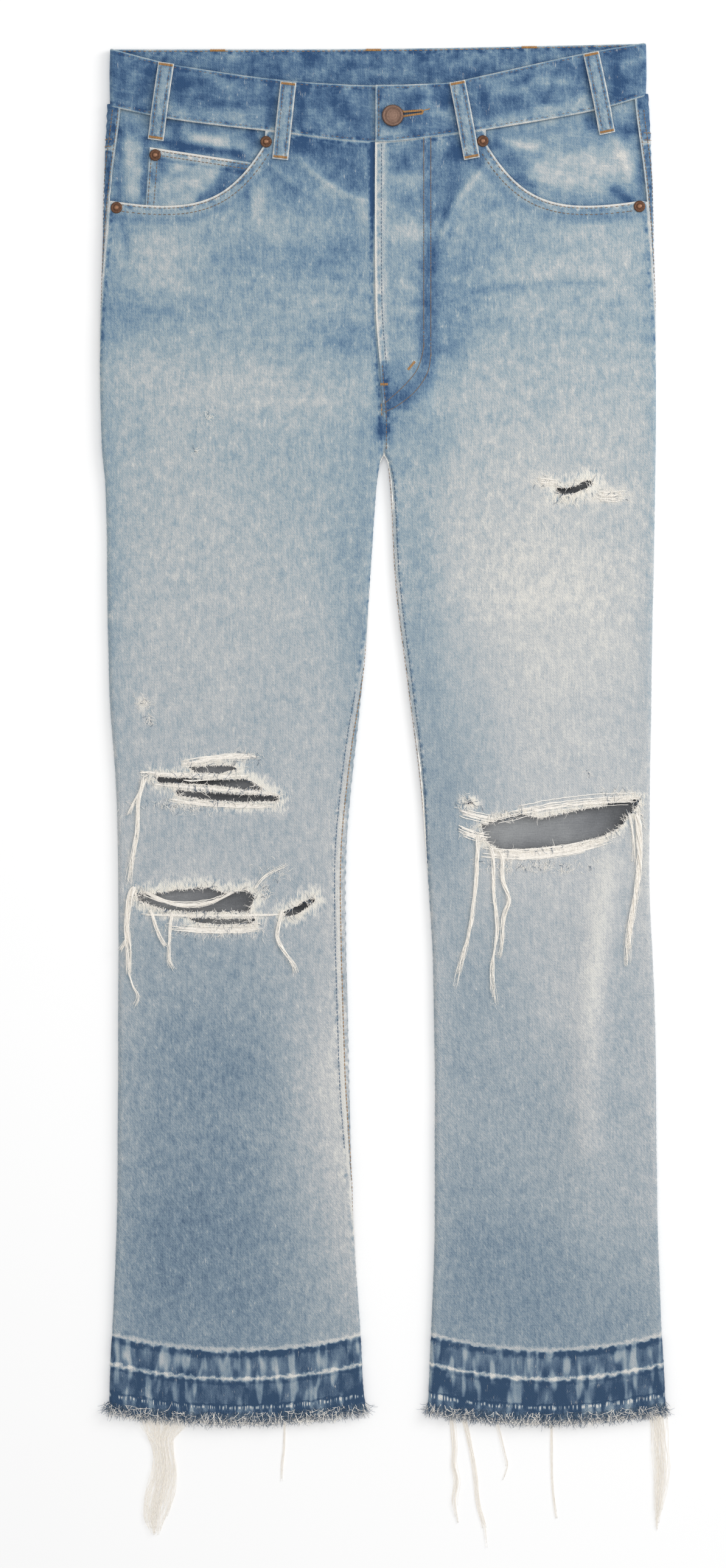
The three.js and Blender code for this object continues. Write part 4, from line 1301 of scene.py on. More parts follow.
def frontLoopShape(spec):
    (topX, topDown), (endX, endDown) = spec["top"], spec["end"]
    length = math.hypot(endX - topX, endDown - topDown)
    alongX, alongDown = (endX - topX) / length, (endDown - topDown) / length
    onBand = band["top"] + 0.3 + loop["thickness"]
    onPanel = spec["under"] + 0.3 + loop["thickness"]
    offBand = onBand + loop["slack"]
    profile = [(0, onBand - 0.2), (0.1, onBand), (0.3, offBand), (0.52, offBand), (0.75, onBand),
               (0.88, onPanel), (1, onPanel)]

    def shape(across, along):
        # across and along are in millimetres on the loop, from its middle and its top
        x = topX + alongX * along + alongDown * across
        down = topDown + alongDown * along - alongX * across
        fromMiddle = abs(across)
        ridge = 0.34 * bell((fromMiddle - 4.9) / 0.9) + 0.3 * bell(across / 2.4)
        ridge -= 0.3 * bell((fromMiddle - 3.4) / 0.8)
        return x, down, follow(profile, along / length) + ridge + 0.16 * ripple(across / 3, along / 4, topX)

    return shape, length


def backLoopShape(x):
    top = follow(bandTopBack, x) + 0.7
    shape = (lambda across, along: (x + across, top + along, 0.15 - 0.1 * bell(across / 2.4)))
    return shape, loop["backLength"]


def makeLoop(name, shape, length, faceUp):
    # closed strip with rounded edges: upper and lower surfaces from one shape
    rows, columns = loop["rows"], loop["columns"]
    half = loop["width"] / 2
    vertices, values = [], []
    for i in range(rows + 1):
        along = length * i / rows
        rounding = loop["endRim"] * (bell(along / 0.8) + bell((length - along) / 0.8))
        for layer in (0, 1):
            for j in range(columns + 1):
                place = j / columns if layer == 0 else 1 - j / columns
                out = abs(place * 2 - 1)
                across = mix(-half, half, place)
                x, down, z = shape(across, along)
                rim = loop["rim"] * (1 - (1 - out) * columns / 2) if out > 1 - 2 / columns else 0
                depth = (rim + rounding) if layer == 0 else loop["thickness"] - rim - rounding
                vertices.append(toWorld(x, down, z - depth if faceUp else z + depth))
                tone = 0.47 - 0.18 * bell((abs(across) - 3.6) / 0.8)
                tone += 0.14 * ripple(across / 3, along / 7, x)
                edge = min(half - abs(across), along, length - along)
                values.append(numbersAt(tone, edge + 0.6, inside=0.3))
    piece = makeMesh(name, vertices, tubeFaces(rows + 1, 2 * (columns + 1)), [denimFront])
    paint(piece, values)
    faceOut(piece)
    shadeSmooth(50)
    return piece


loopShapes = {}
loopOutline = [(0, 0), (loop["width"], 0), (loop["width"], loop["cut"]), (0, loop["cut"])]
for place, spec in frontLoops.items():
    loopShapes[f"front_{place}"] = (*frontLoopShape(spec), True)
for place, x in backLoops.items():
    loopShapes[f"back_{place}"] = (*backLoopShape(x), False)
for place, (shape, length, faceUp) in loopShapes.items():
    piece = makeLoop(f"belt_loop_{place}_denim", shape, length, faceUp)
    layCloth(piece, f"belt_loop_{place}", loopOutline, [waistband.name])
print("belt loops are sewn on")


# Pocket facings, coin pocket and back pockets
pocket = {
    "facingZ": 4.9, "coinZ": 5.9, "facingThickness": 0.8,
    "spacing": 2.6, "coinSpacing": 2.2, "backSpacing": 4.6,
    "outerX": 211, "innerX": 78,  # how far out and in the facings go
    "coinHem": 6.6,  # depth of the coin pocket's doubled top
    "backHem": 14.0,
}
facingLower = [(-80, 100), (-100, 128), (-125, 143), (-165, 150), (-209, 145)]
coinPocket = [(-178, 79.5), (-99, 91.5), (-103, 110), (-113, 137), (-182, 137)]
backPocket = [(-182, 146), (-33, 134), (-39, 262), (-104, 293), (-170, 272)]
facingMarks = {
    "right": [
        ([(-191, 80), (-189, 118)], 6, 0.2, 3), ([(-181, 72), (-183, 116)], 2.6, -0.3),
        ([(-150, 70), (-130, 73), (-108, 80)], 4.5, 0.26), ([(-168, 75), (-140, 80), (-108, 84)], 3, -0.36),
        ([(-206, 66), (-150, 64), (-100, 64)], 7, -0.16), ([(-97, 66), (-95, 75)], 5, -0.3),
        ([(-112, 80), (-106, 86)], 5, -0.3), ([(-160, 82), (-135, 82)], 5, -0.16),
        ([(-157, 92), (-152, 96)], 8, -0.26), ([(-170, 106), (-168, 110)], 6, 0.12),
        ([(-156, 69), (-152, 71)], 5, -0.2), ([(-142, 117), (-136, 119)], 7, 0.12),
        ([(-82, 66), (-78, 74)], 5, -0.14), ([(-160, 62), (-154, 78)], 6, -0.14),
        ([(-202, 66), (-203, 118)], 3, -0.2),
    ],
    "left": [
        ([(136, 97), (184, 94)], 16, 0.28, 3), ([(90, 78), (108, 92)], 7, -0.2),
        ([(66, 80), (78, 84)], 6, -0.16), ([(94, 68), (97, 72)], 5, -0.14),
        ([(168, 57), (172, 60)], 5, -0.16), ([(198, 57), (202, 59)], 5, -0.14),
        ([(98, 74), (124, 80)], 3, 0.24), ([(112, 104), (122, 108)], 4, -0.26),
        ([(184, 112), (196, 120)], 4, -0.34), ([(166, 64), (206, 66)], 6, -0.26),
        ([(186, 78), (199, 98)], 5, 0.16), ([(206, 66), (206, 116)], 3, -0.2),
    ],
}
facingCreases = {
    "right": [[(-165, 66), (-130, 76), (-100, 84)], [(-150, 74), (-118, 72)], [(-196, 66), (-194, 116)]],
    "left": [[(92, 82), (120, 78), (160, 66)], [(180, 60), (192, 84), (196, 104)], [(120, 104), (170, 108)]],
}


def facingShape(side):
    def shape(x, down):
        height = 0.3 * ripple(x / 14, down / 12, 7)
        for crease in facingCreases[side]:
            height += 0.55 * bell(pathDistance(crease, x, down, 9) / 3.6)
        return x, down, pocket["facingZ"] + height

    return shape


def facingTone(side):
    def tone(x, down, place):
        wash = 0.41 + marked(facingMarks[side], x, down) + 0.16 * ripple(x / 9, down / 9, 43)
        for crease in facingCreases[side]:
            wash += 0.1 * bell(pathDistance(crease, x, down, 9) / 3)
        # painted shadow: a dark strip along the pocket mouth's edge, which lies over the facing
        wash -= 0.1 * bell(pathDistance(scoops[side], x, down, 9) / 2.5)
        return numbersAt(wash, cloth["worn"])

    return tone


def coinShape(x, down):
    hem = down - follow(coinPocket[:2], x)
    height = 0.3 * (1 - smoothstep(pocket["coinHem"] - 0.6, pocket["coinHem"] + 0.6, hem))
    height += 0.22 * ripple(x / 8, down / 8, 11) + 0.15 * ripple(x / 3, down / 3, 13) * bell((hem - 3) / 4)
    return x, down, pocket["coinZ"] + height


def coinTone(x, down, place):
    hem = down - follow(coinPocket[:2], x)
    left = x + 179.5 + (down - 85) * 0.07
    wash = 0.6 + 0.18 * ripple(x / 9, down / 8, 17) - 0.4 * smoothstep(-122, -113, x + (down - 94) * 0.9)
    wash -= 0.3 * bell((x + 170) / 7) * bell((down - 95) / 9) + 0.1 * bell((x + 172) / 8)
    wash += 0.1 * bell((hem - 3) / 3) - 0.26 * bell((hem - pocket["coinHem"] - 1.6) / 1.4)
    return numbersAt(wash, min(hem, left + 0.3, cloth["worn"]))


def backPocketShape(x, down):
    return x, down, 0.2 + 0.15 * ripple(x / 20, down / 20, 3)


def backPocketTone(side):
    outline = mirrored(backPocket, side)

    def tone(x, down, place):
        wash = 0.64 + 0.12 * ripple(x / 26, down / 24, 19) - 0.14 * bell((down - 160) / 8)
        return numbersAt(wash, pathDistance(outline + outline[:1], x, down, cloth["worn"]))

    return tone


for side in legs:
    outward = -legs[side]["inward"]
    outerX, under = outward * pocket["outerX"], [backPieces[side].name]
    upper = [(x, bandBottom(x, 1) - 1.5) for x in spaced(outerX, outward * pocket["innerX"], 3)]
    lower = smoothPath(mirrored(facingLower, side)[:-1] + [(outerX, 146)], 3)
    outline = closedEvenly(upper + lower, 2.6)
    facing = cutCloth(f"pocket_facing_{side}_denim", outline, [], pocket["spacing"], facingShape(side),
                      facingTone(side), True, [denimFront, wrongSide], pocket["facingThickness"])
    layCloth(facing, f"pocket_facing_{side}", outline, under)
    outline = closedEvenly(mirrored(backPocket, side), 4)
    patch = cutCloth(f"back_pocket_{side}_denim", outline, [], pocket["backSpacing"], backPocketShape,
                     backPocketTone(side), False, *backPly)
    layCloth(patch, f"back_pocket_{side}", outline, under)
outline = closedEvenly(coinPocket, 2.4)
coin = cutCloth("coin_pocket_denim", outline, [], pocket["coinSpacing"], coinShape, coinTone, True,
                [denimFront, wrongSide, creamThread], pocket["facingThickness"])
layCloth(coin, "coin_pocket", outline, ["pocket_facing_right_denim"])
print("pockets are in place")


# Stitches: one is modelled, and a copy lies at every step along the sewing lines
stitch = {"length": 2.7, "pitch": 3.1, "radius": 0.36, "sink": 0.05}
tack = {"length": 2.3, "pitch": 0.75, "radius": 0.36, "lift": 0.1}


def modelStitch():
    # a short lens of thread along x, flat underneath, one unit long and one wide
    bpy.ops.mesh.primitive_uv_sphere_add(segments=6, ring_count=4, radius=0.5, location=(0, 0, 0))
    model = bpy.context.object
    bpy.ops.object.mode_set(mode="EDIT")
    bpy.ops.mesh.select_all(action="SELECT")
    bpy.ops.transform.rotate(value=math.pi / 2, orient_axis="Y", center_override=(0, 0, 0))
    bpy.ops.mesh.select_all(action="DESELECT")
    bpy.ops.object.mode_set(mode="OBJECT")
    for vertex in model.data.vertices:
        vertex.select = vertex.co.z < -0.2
    bpy.ops.object.mode_set(mode="EDIT")
    bpy.ops.transform.resize(value=(0.8, 0.8, 0.3), center_override=(0, 0, 0))
    bpy.ops.object.mode_set(mode="OBJECT")
    corners = [vertex.co.copy() for vertex in model.data.vertices]
    faces = [tuple(polygon.vertices) for polygon in model.data.polygons]
    bpy.data.objects.remove(model, do_unlink=True)
    return corners, faces


stitchModel = modelStitch()


class Sewing:
    # gathers copies of the stitch, and makes them one piece
    def __init__(self, name, slot, material):
        self.name, self.slot, self.material = name, slot, material
        self.vertices, self.faces = [], []

    def drop(self, centre, along, up, length, radius):
        across = up.cross(along).normalized()
        up = along.cross(across).normalized()
        turn = Matrix((along.normalized(), across, up)).transposed()
        first = len(self.vertices)
        for corner in stitchModel[0]:
            scaled = Vector((corner.x * length, corner.y * radius * 2, corner.z * radius * 2)) / 1000
            self.vertices.append(centre + turn @ scaled)
        self.faces += [tuple(first + k for k in face) for face in stitchModel[1]]

    def row(self, path, shape, faceUp, length=stitch["length"], pitch=stitch["pitch"],
            radius=stitch["radius"], lift=0.0, turned=False):
        # stitches along a path of (u, down), laid on the cloth by shape. turned ones lie across the path
        points = evenly(path, pitch)
        for (ax, ad), (bx, bd) in zip(points, points[1:]):
            u, down = (ax + bx) / 2, (ad + bd) / 2
            here = toWorld(*shape(u, down))
            right = toWorld(*shape(u + 0.5, down)) - here
            below = toWorld(*shape(u, down + 0.5)) - here
            out = (below.cross(right) if faceUp else right.cross(below)).normalized()
            run, drop = bx - ax, bd - ad
            along = right * drop - below * run if turned else right * run + below * drop
            sink = (lift - stitch["sink"]) / 1000
            self.drop(here + out * sink, along.normalized(), out, length, radius)

    def tackRow(self, path, shape, faceUp):
        self.row(path, shape, faceUp, tack["length"], tack["pitch"], tack["radius"], tack["lift"], True)

    def piece(self):
        made = makeMesh(self.name, self.vertices, self.faces, [self.material])
        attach(made, "root")
        print(self.name, len(self.faces), "faces")


def bandShape(face):
    def shape(u, down):
        height = bandRelief(u, down, (1 + face) / 2)
        if face > 0:
            return u, down, band["top"] + bandRise(u, u > garment["mirrorX"]) + height
        return u, down, band["bottom"] - height

    return shape


def besideBand(edge, start, end, inset, front):
    return [(x, edge(x, front) + inset) for x in spaced(start, end, 4)]


rowGap = 5.6  # between the rows of a double seam
sewFront = Sewing("stitches_front", "denim_front", brownStitch)
sewBand = Sewing("stitches_waistband", "denim_waist", brownStitch)
sewBack = Sewing("stitches_back", "denim_back", goldStitch)
sewTacks = Sewing("bartacks", "denim_waist", orangeStitch)
sewTonal = Sewing("stitches_tonal", "denim_front", indigoThread)

fronts = {side: frontShape(side) for side in legs}
backs = {side: backShape(side) for side in legs}
inseamRuns = {"right": (505, 863), "left": (330, 640)}  # where the front's inseam stitches show


def alongSeam(seam, side, face, inset, top, bottom):
    inward = legs[side]["inward"]
    return downLine(lambda down: seam(side, face, down) + inward * inset, top, bottom, 3)


for side in legs:
    front, back = (fronts[side], True), (backs[side], False)
    for inset in (1.9, 6.9):
        sewFront.row(beside(mirrored(scoop, side)[1:-1], inset * legs[side]["inward"]), *front)
    # side seams: two rows on the back's edge, which shows in front over the hips
    for inset in (1.6, 1.6 + rowGap * 0.8):
        sewFront.row(alongSeam(outerSeam, side, -1, inset, 50, 250), *back)
    sewBack.row(alongSeam(outerSeam, side, -1, 2, 250, 1060), *back)
    sewTonal.row(alongSeam(innerSeam, side, 1, -2.6, *inseamRuns[side]), *front)
    sewBack.row(alongSeam(innerSeam, side, -1, -2, 330, 1060), *back)
    seam = lineAcross(backLine(yokeLine, side), side, -1, 3)[1:-1]
    for inset in (-2.0, -2.0 - rowGap):
        sewBack.row([(u, down + inset) for u, down in seam], *back)
    sewBack.row(alongSeam(innerSeam, side, -1, -2.2, 48, 315), *back)
    patch = mirrored(backPocket, side)
    middleX, middleDown = sum(x for x, _ in patch) / len(patch), sum(d for _, d in patch) / len(patch)
    for share in (0.97, 0.9):
        ring = [(mix(middleX, x, share), mix(middleDown, d, share)) for x, d in patch]
        sewBack.row(ring[1:] + ring[:1], backPocketShape, False)
    (ax, ad), (bx, bd) = patch[:2]
    for drop in (2.0, pocket["backHem"] - 2):
        ends = [(mix(ax, bx, 0.02), ad + drop), (mix(ax, bx, 0.98), bd + drop)]
        sewBack.row(ends, backPocketShape, False)

# fly: the strip along its edge, the curved double row and the seam down to the crotch
flyStrip = downLine(lambda down: follow(flyEdge, down) + 5.0, 77, 249, 3)
sewTonal.row(flyStrip, fronts["left"], True)
for key in ("outer", "inner"):
    sewFront.row([p for p in smoothPath(flyStitch[key], 2) if p[1] > 70], fronts["left"], True)
sewFront.row(downLine(lambda down: follow(flyEdge, down) + 1.8, 250, 316, 3), fronts["left"], True)
# coin pocket: its hem and its sides
(outerX, outerDown), (innerX, innerDown) = coinPocket[:2]
for drop in (2.0, 5.4):
    ends = [(outerX + 3, outerDown + 0.4 + drop), (innerX - 2, innerDown - 0.3 + drop)]
    sewFront.row(ends, coinShape, True)
for inset in (1.6, 6.4):
    sewFront.row([(-178 + inset, 82), (-182 + inset, 133)], coinShape, True)
# waistband: rows along both edges, in front, behind and on the inner face at the back
for face in (1, -1):
    front = (1 + face) / 2
    runs = [(-204, -1.4), (2, 204)] if face > 0 else [(-204, 204)]
    for x0, x1 in runs:
        sewBand.row(besideBand(bandTop, x0, x1, 2.3, front), bandShape(face), face > 0)
        sewBand.row(besideBand(bandBottom, x0, x1, -2.4, front), bandShape(face), face > 0)
insideTop = band["bottom"] + band["thickness"]
sewTacks.row(besideBand(bandTop, -200, 200, 1.6, 0), lambda u, down: (u, down, insideTop), True, radius=0.25)
sewBand.row([(1.2, 35), (1.2, 72)], bandShape(1), True)
tackEnd = loop["width"] / 2 - 0.8
for shape, length, faceUp in loopShapes.values():
    for across in (-3.4, 3.4):
        sewBand.row([(across, 3), (across, length - 3)], shape, faceUp)
    for along in (1.6, length - 1.8):
        sewTacks.tackRow([(-tackEnd, along), (tackEnd, along)], shape, faceUp)
for x in backLoops.values():
    top = bandTop(x, 0)
    sewTacks.tackRow([(x - 6, top + 0.9), (x + 6, top + 0.9)], lambda u, down: (u, down, insideTop), True)
# bartacks at the fly, and the worked edge of the buttonhole
sewTacks.tackRow([(29.4, 247.3), (23.9, 253.9)], fronts["left"], True)
sewTacks.tackRow([(2.3, 265.2), (8.3, 265.2)], fronts["left"], True)
sewTacks.row([(2.9, 280), (3.6, 290)], fronts["left"], True, length=3.2)
edge = keyhole(0.5)
sewTacks.row(edge + edge[:1], bandShape(1), True, 2.0, 0.7, 0.34, 0.1, turned=True)
sewTacks.row([(35.5, 51.6), (40.5, 50.2)], bandShape(1), True, 3.0, 1.2, 0.4, 0.1)
for sewing in (sewFront, sewBand, sewBack, sewTacks, sewTonal):
    sewing.piece()
print("stitches are sewn")


# Button and rivets, drawn up ring by ring from a filled circle
button = {
    "sides": 56, "material": buttonCopper,
    "profile": [
        (2.6, -3.0), (2.6, 0.0), (7.3, 0.0), (8.1, 0.4), (8.5, 1.0), (8.4, 1.5), (8.0, 1.95), (7.4, 2.2),
        (6.9, 2.2), (6.5, 2.05), (6.2, 2.0), (5.2, 2.1), (4.9, 2.22), (4.6, 2.25), (4.2, 2.15), (3.2, 2.2),
        (2.9, 2.3), (2.5, 2.32), (2.1, 2.24), (1.2, 2.35), (0.5, 2.4),
    ],
}
rivet = {
    "sides": 28, "material": rivetCopper,
    "profile": [
        (3.9, -0.3), (4.5, 0.0), (4.55, 0.4), (4.2, 0.9), (3.6, 1.1), (3.0, 1.0), (2.6, 0.75), (2.3, 0.8),
        (2.0, 1.3), (1.6, 1.75), (1.0, 1.95), (0.4, 2.0),
    ],
}


def turnUp(name, x, down, z, spec):
    # a filled circle extruded and resized along the profile of (radius, height)
    centre = toWorld(x, down, z)
    radius, height = spec["profile"][0]
    bpy.ops.mesh.primitive_circle_add(vertices=spec["sides"], radius=radius / 1000, fill_type="NGON",
                                      location=centre + Vector((0, 0, height / 1000)))
    piece = bpy.context.object
    piece.name = name
    bpy.ops.object.mode_set(mode="EDIT")
    bpy.ops.mesh.select_all(action="SELECT")
    for wider, higher in spec["profile"][1:]:
        bpy.ops.mesh.extrude_region_move(TRANSFORM_OT_translate={"value": (0, 0, (higher - height) / 1000)})
        ratio = wider / radius
        bpy.ops.transform.resize(value=(ratio, ratio, 1), center_override=centre)
        radius, height = wider, higher
    bpy.ops.object.mode_set(mode="OBJECT")
    faceOut(piece)
    bpy.ops.object.transform_apply(location=True, rotation=True, scale=True)
    piece.data.materials.append(spec["material"])
    shadeSmooth(60)
    highest = max(height for _, height in spec["profile"])
    values = []
    for vertex in piece.data.vertices:
        above = vertex.co.z * 1000 - z
        spread = (vertex.co.xy - centre.xy).length * 1000
        hollow = 0.75 - 0.6 * smoothstep(highest - 0.7, highest, above) + 0.1 * bell(spread - 5.6)
        values.append({"hollow": hollow})
    paint(piece, values)
    return piece


def fixMetal(piece, node):
    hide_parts(node)
    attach(piece, "root")


buttonFoot = band["top"] + band["raise"][2] + 0.35
made = turnUp("waist_button_copper", garment["buttonX"], garment["buttonDown"], buttonFoot, button)
fixMetal(made, "waist_button")
rivets = {
    "right_inner": (-87, 75.5, frontZ + 0.5),
    "right_outer": (-204, 127, frontZ + 0.2),
    "left_inner": (82.5, 75, frontZ + 0.5),
    "left_outer": (205, 126, frontZ + 0.2),
    "coin_pocket": (-173.8, 85.7, pocket["coinZ"] + 0.5),
}
for place, (x, down, z) in rivets.items():
    made = turnUp(f"rivet_{place}_copper", x, down, z, rivet)
    fixMetal(made, f"rivet_{place}")
print("button and rivets are set")


# Threads: torn yarn at the rips and hems, as fine tapered strands gathered into pieces
seeds = {
    "rip_fray": {"right": 11, "left": 12}, "rip_threads": {"right": 21, "left": 22},
    "hem_fringe": {"right": 31, "left": 32}, "thread_hank": 41,
}


class Yarn:
    def __init__(self, name, seed):
        self.name = name
        self.random = random.Random(seed)
        self.vertices, self.faces, self.dyed = [], [], []

    def strand(self, points, radius, tip=0.4, dyed=False):
        # a three-sided tube along (x, down, z) points, thinning to the share tip of its radius
        sides, first, before = 3, len(self.vertices), len(self.faces)
        places = [Vector((x, -down, z)) for x, down, z in points]
        last = len(places) - 1
        for k, place in enumerate(places):
            along = (places[min(k + 1, last)] - places[max(k - 1, 0)]).normalized()
            across = along.cross(Vector((0, 0, 1)))
            across = across.normalized() if across.length > 0.05 else Vector((1, 0, 0))
            up = across.cross(along)
            size = radius * mix(1, tip, k / last)
            for j in range(sides):
                angle = 2 * math.pi * j / sides + 0.7
                p = place + (across * math.cos(angle) + up * math.sin(angle)) * size
                self.vertices.append(toWorld(p.x, -p.y, max(p.z, 0.02 * j)))  # none goes below the floor
        for k in range(last):
            for j in range(sides):
                a, b = first + k * sides + j, first + k * sides + (j + 1) % sides
                self.faces.append((b, a, a + sides, b + sides))
        self.faces.append(tuple(range(first, first + sides)))
        self.faces.append(tuple(range(first + (last + 1) * sides - 1, first + last * sides - 1, -1)))
        self.dyed += [int(dyed)] * (len(self.faces) - before)

    def fuzz(self, x, down, z, heading, length, radius, floor, dyed=False):
        # a short curly thread from a point, with its heading in radians from x towards down
        rng = self.random
        bend = rng.uniform(-1.1, 1.1) / length * 1.5
        steps = max(3, round(length / 1.3))
        points = [(x, down, z)]
        climb = rng.uniform(0.1, 0.55)
        for k in range(steps):
            heading += bend * length / steps + rng.uniform(-0.25, 0.25)
            x += math.cos(heading) * length / steps
            down += math.sin(heading) * length / steps
            z = max(floor(x, down), z + climb * length / steps * (0.8 - 1.5 * k / steps))
            points.append((x, down, z))
        self.strand(points, radius, dyed=dyed)

    def rope(self, path, width, count, radius, floor, fray):
        # a loosely twisted yarn of count strands along a path, with an end that spreads by fray
        rng = self.random
        line = smoothPath(path, 2.2)
        total = len(line) - 1
        for _ in range(count):
            phase, rate = rng.uniform(0, 2 * math.pi), rng.uniform(0.12, 0.3)
            spread = width / 2 * math.sqrt(rng.random())
            start = round(total * rng.uniform(0, 0.06))
            end = total - round(total * rng.uniform(0, 0.15))
            shift = rng.uniform(-1, 1)
            points = []
            for k in range(start, end + 1):
                x, down = line[k]
                ax, ad = line[max(k - 1, 0)]
                bx, bd = line[min(k + 1, total)]
                length = math.hypot(bx - ax, bd - ad) or 1
                swirl = phase + k * rate
                swing = spread * math.cos(swirl) + shift * fray * (k / total) ** 3
                swing += 0.35 * ripple(k * 0.22, phase, rate * 9)
                up = radius + spread * 0.45 * (1 + math.sin(swirl))
                px, pd = x - (bd - ad) / length * swing, down + (bx - ax) / length * swing
                points.append((px, pd, floor(px, pd) + up))
            if len(points) > 2:
                self.strand(points, radius, 0.5)
        for x, down in line[1:total]:
            px, pd = x + rng.gauss(0, width / 4), down + rng.gauss(0, width / 4)
            height = floor(px, pd) + width * 0.4
            self.fuzz(px, pd, height, rng.uniform(0, 6.3), rng.uniform(1.5, 4), 0.13, floor)

    def piece(self):
        made = makeMesh(self.name, self.vertices, self.faces, [creamThread, indigoThread])
        made.data.polygons.foreach_set("material_index", self.dyed)
        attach(made, "root")
        print(self.name, len(self.faces), "faces")
        return made


def clothTop(side):
    # height of the front of a leg under a thread, before its relief
    leg = legs[side]

    def floor(x, down):
        if down > garment["hem"] + smile(side, x, min(down, garment["hem"])):
            return 0.3
        distance = min(leg["inward"] * (x - follow(leg["outer"], down)),
                       leg["inward"] * (follow(leg["inner"], down) - x))
        height = roundFold(0, 1, distance, liftAt(down), 1)[1] if distance < fold else liftAt(down) + 2 * fold
        return height + frontRelief(side, x, down) + 0.05

    return floor


ripFuzz = {  # threads round the torn edges, over the cloth or into the hole
    "spacing": 0.42, "over": 0.66,
    "length": (2.4, 7.5), "inside": (0.1, 0.36), "back": (0, 0.2),  # the last two are shares of the hole
    "widest": 8.0,
    "radius": (0.14, 0.25), "dyed": 0.16,
    "sink": 1.2,  # how deep they hang in the hole
}


def frayRips(side):
    yarn = Yarn(f"rip_fray_{side}", seeds["rip_fray"][side])
    floor = clothTop(side)
    rng = yarn.random
    for edge in tornEdges[side]:
        middle = sum(d for _, d in edge) / len(edge)
        left, right = boxOf(edge)[:2]
        gape = min(ripFuzz["widest"], areaOf(edge) / (right - left))  # how wide the hole gapes
        for x, down in evenly(edge + edge[:1], ripFuzz["spacing"]):
            over = rng.random() < ripFuzz["over"]
            outward = -math.pi / 2 if down < middle else math.pi / 2
            heading = (outward if over else -outward) + rng.gauss(0, 0.8)
            length = rng.uniform(*ripFuzz["length"]) if over else rng.uniform(*ripFuzz["inside"]) * gape
            back = rng.uniform(*ripFuzz["back"]) * gape if over else 0
            startX = x - math.cos(heading) * back
            startDown = down - math.sin(heading) * back
            low = floor(startX, startDown)
            fall = floor if over else (lambda px, pd, low=low: low - ripFuzz["sink"])
            yarn.fuzz(startX, startDown, low + 0.1, heading, length, rng.uniform(*ripFuzz["radius"]), fall,
                      over and rng.random() < ripFuzz["dyed"])
    return yarn


weft = {  # bands of weft left across the rips: ends as (x, down), their depth, sag and number of threads
    "right": [
        [(-182, 568.5), (-100, 571.5), 1.6, 1.0, 16], [(-172, 578.5), (-84, 585), 1.4, 0.0, 18],
        [(-150, 575), (-104, 566), 1.0, 3, 5], [(-186, 663), (-108, 660), 2.4, 10, 6],
        [(-184, 679.5), (-74, 679.5), 1.2, 1, 18], [(-152, 562), (-94, 556), 4, -2, 20],
        [(-160, 590), (-84, 595), 3, 1.5, 18], [(-160, 690), (-92, 691), 4, 2, 24],
    ],
    "left": [
        [(84, 633), (182, 622), 8, 5, 34], [(90, 632), (176, 624), 5, 5, 12],
        [(64, 598), (92, 604), 7, 1, 20], [(64, 613), (88, 619), 7, 2, 20],
        [(126, 340), (142, 342), 4, 0, 8], [(172, 352), (195, 351), 7, 1, 10],
        [(96, 604), (204, 590), 5, -4, 16],
    ],
}


def layWeft(yarn, side):
    rng = yarn.random
    floor = clothTop(side)
    for (ax, ad), (bx, bd), depth, droop, count in weft[side]:
        for _ in range(count):
            start, end = rng.uniform(-0.05, 0.25), rng.uniform(0.75, 1.05)
            shift = rng.gauss(0, depth / 3)
            wave = rng.uniform(0, 50)
            steps = round(abs(bx - ax) * (end - start) / 3.2) + 2
            points = []
            for k in range(steps + 1):
                t = mix(start, end, k / steps)
                x = mix(ax, bx, t)
                down = mix(ad, bd, t) + shift + droop * 4 * t * (1 - t) + 0.9 * ripple(x / 7, wave)
                points.append((x, down, floor(x, down) - 0.2 + 0.5 * (1 + ripple(x / 5, wave + 3))))
            yarn.strand(points, rng.choice((0.2, 0.28, 0.4)), 0.7)


danglers = {  # yarns that hang from the rips: their path, width and number of strands
    "right": [
        [[(-181.9, 571.9), (-187.1, 592.9), (-188.1, 617.1), (-192.9, 644.8), (-194.8, 656)], 2.4, 10],
        [[(-184, 580), (-190, 592), (-194.8, 602.4)], 1.4, 5],
        [[(-182.9, 661.4), (-162.9, 670.5), (-148.1, 673.3), (-129.5, 670.5), (-111.4, 660)], 1.8, 8],
        [[(-190, 658), (-193.3, 665.7), (-195.7, 685.7), (-194.8, 708.6), (-194.3, 728.1)], 3.2, 14],
        [[(-194.3, 724), (-191, 735), (-187.1, 743.3), (-190.5, 752.4)], 1.2, 4],
        [[(-195.5, 690), (-196.7, 699.5), (-201.9, 708.6)], 1.6, 6],
        [[(-178, 676), (-175.2, 682.4), (-170.5, 696.2), (-164.8, 705.2)], 2.0, 8],
        [[(-160, 678), (-161.4, 684.3), (-162.9, 705.2), (-162.9, 716.2), (-159, 723.8)], 1.8, 7],
        [[(-74, 676), (-75.7, 682.4), (-78.1, 697.6), (-71.9, 710), (-65.7, 719), (-63.8, 726.7)], 2.2, 9],
        [[(-96, 660), (-88, 650), (-70, 640)], 1.2, 4],
    ],
    "left": [
        [[(80, 617), (78.6, 623.3), (77.1, 655.2), (73.3, 685.7), (68.1, 708.6), (63.3, 726.7),
          (60.5, 737.1)], 2.2, 9],
        [[(86, 626), (90, 632.4), (91.4, 662.9), (93.8, 690), (90, 717.6), (90.5, 738.6),
          (92.9, 753.8)], 2.0, 8],
        [[(96, 630), (98.1, 637.1), (98.1, 652.4), (102.9, 667.6), (99, 681), (97.6, 701),
          (95.2, 714.3)], 2.2, 9],
        [[(203, 600), (204.8, 614.3), (204.8, 640), (201.4, 670.5), (197.1, 693.3),
          (195.2, 720.5)], 3.4, 16],
        [[(197, 600), (200, 618), (201, 640)], 1.2, 4],
    ],
}
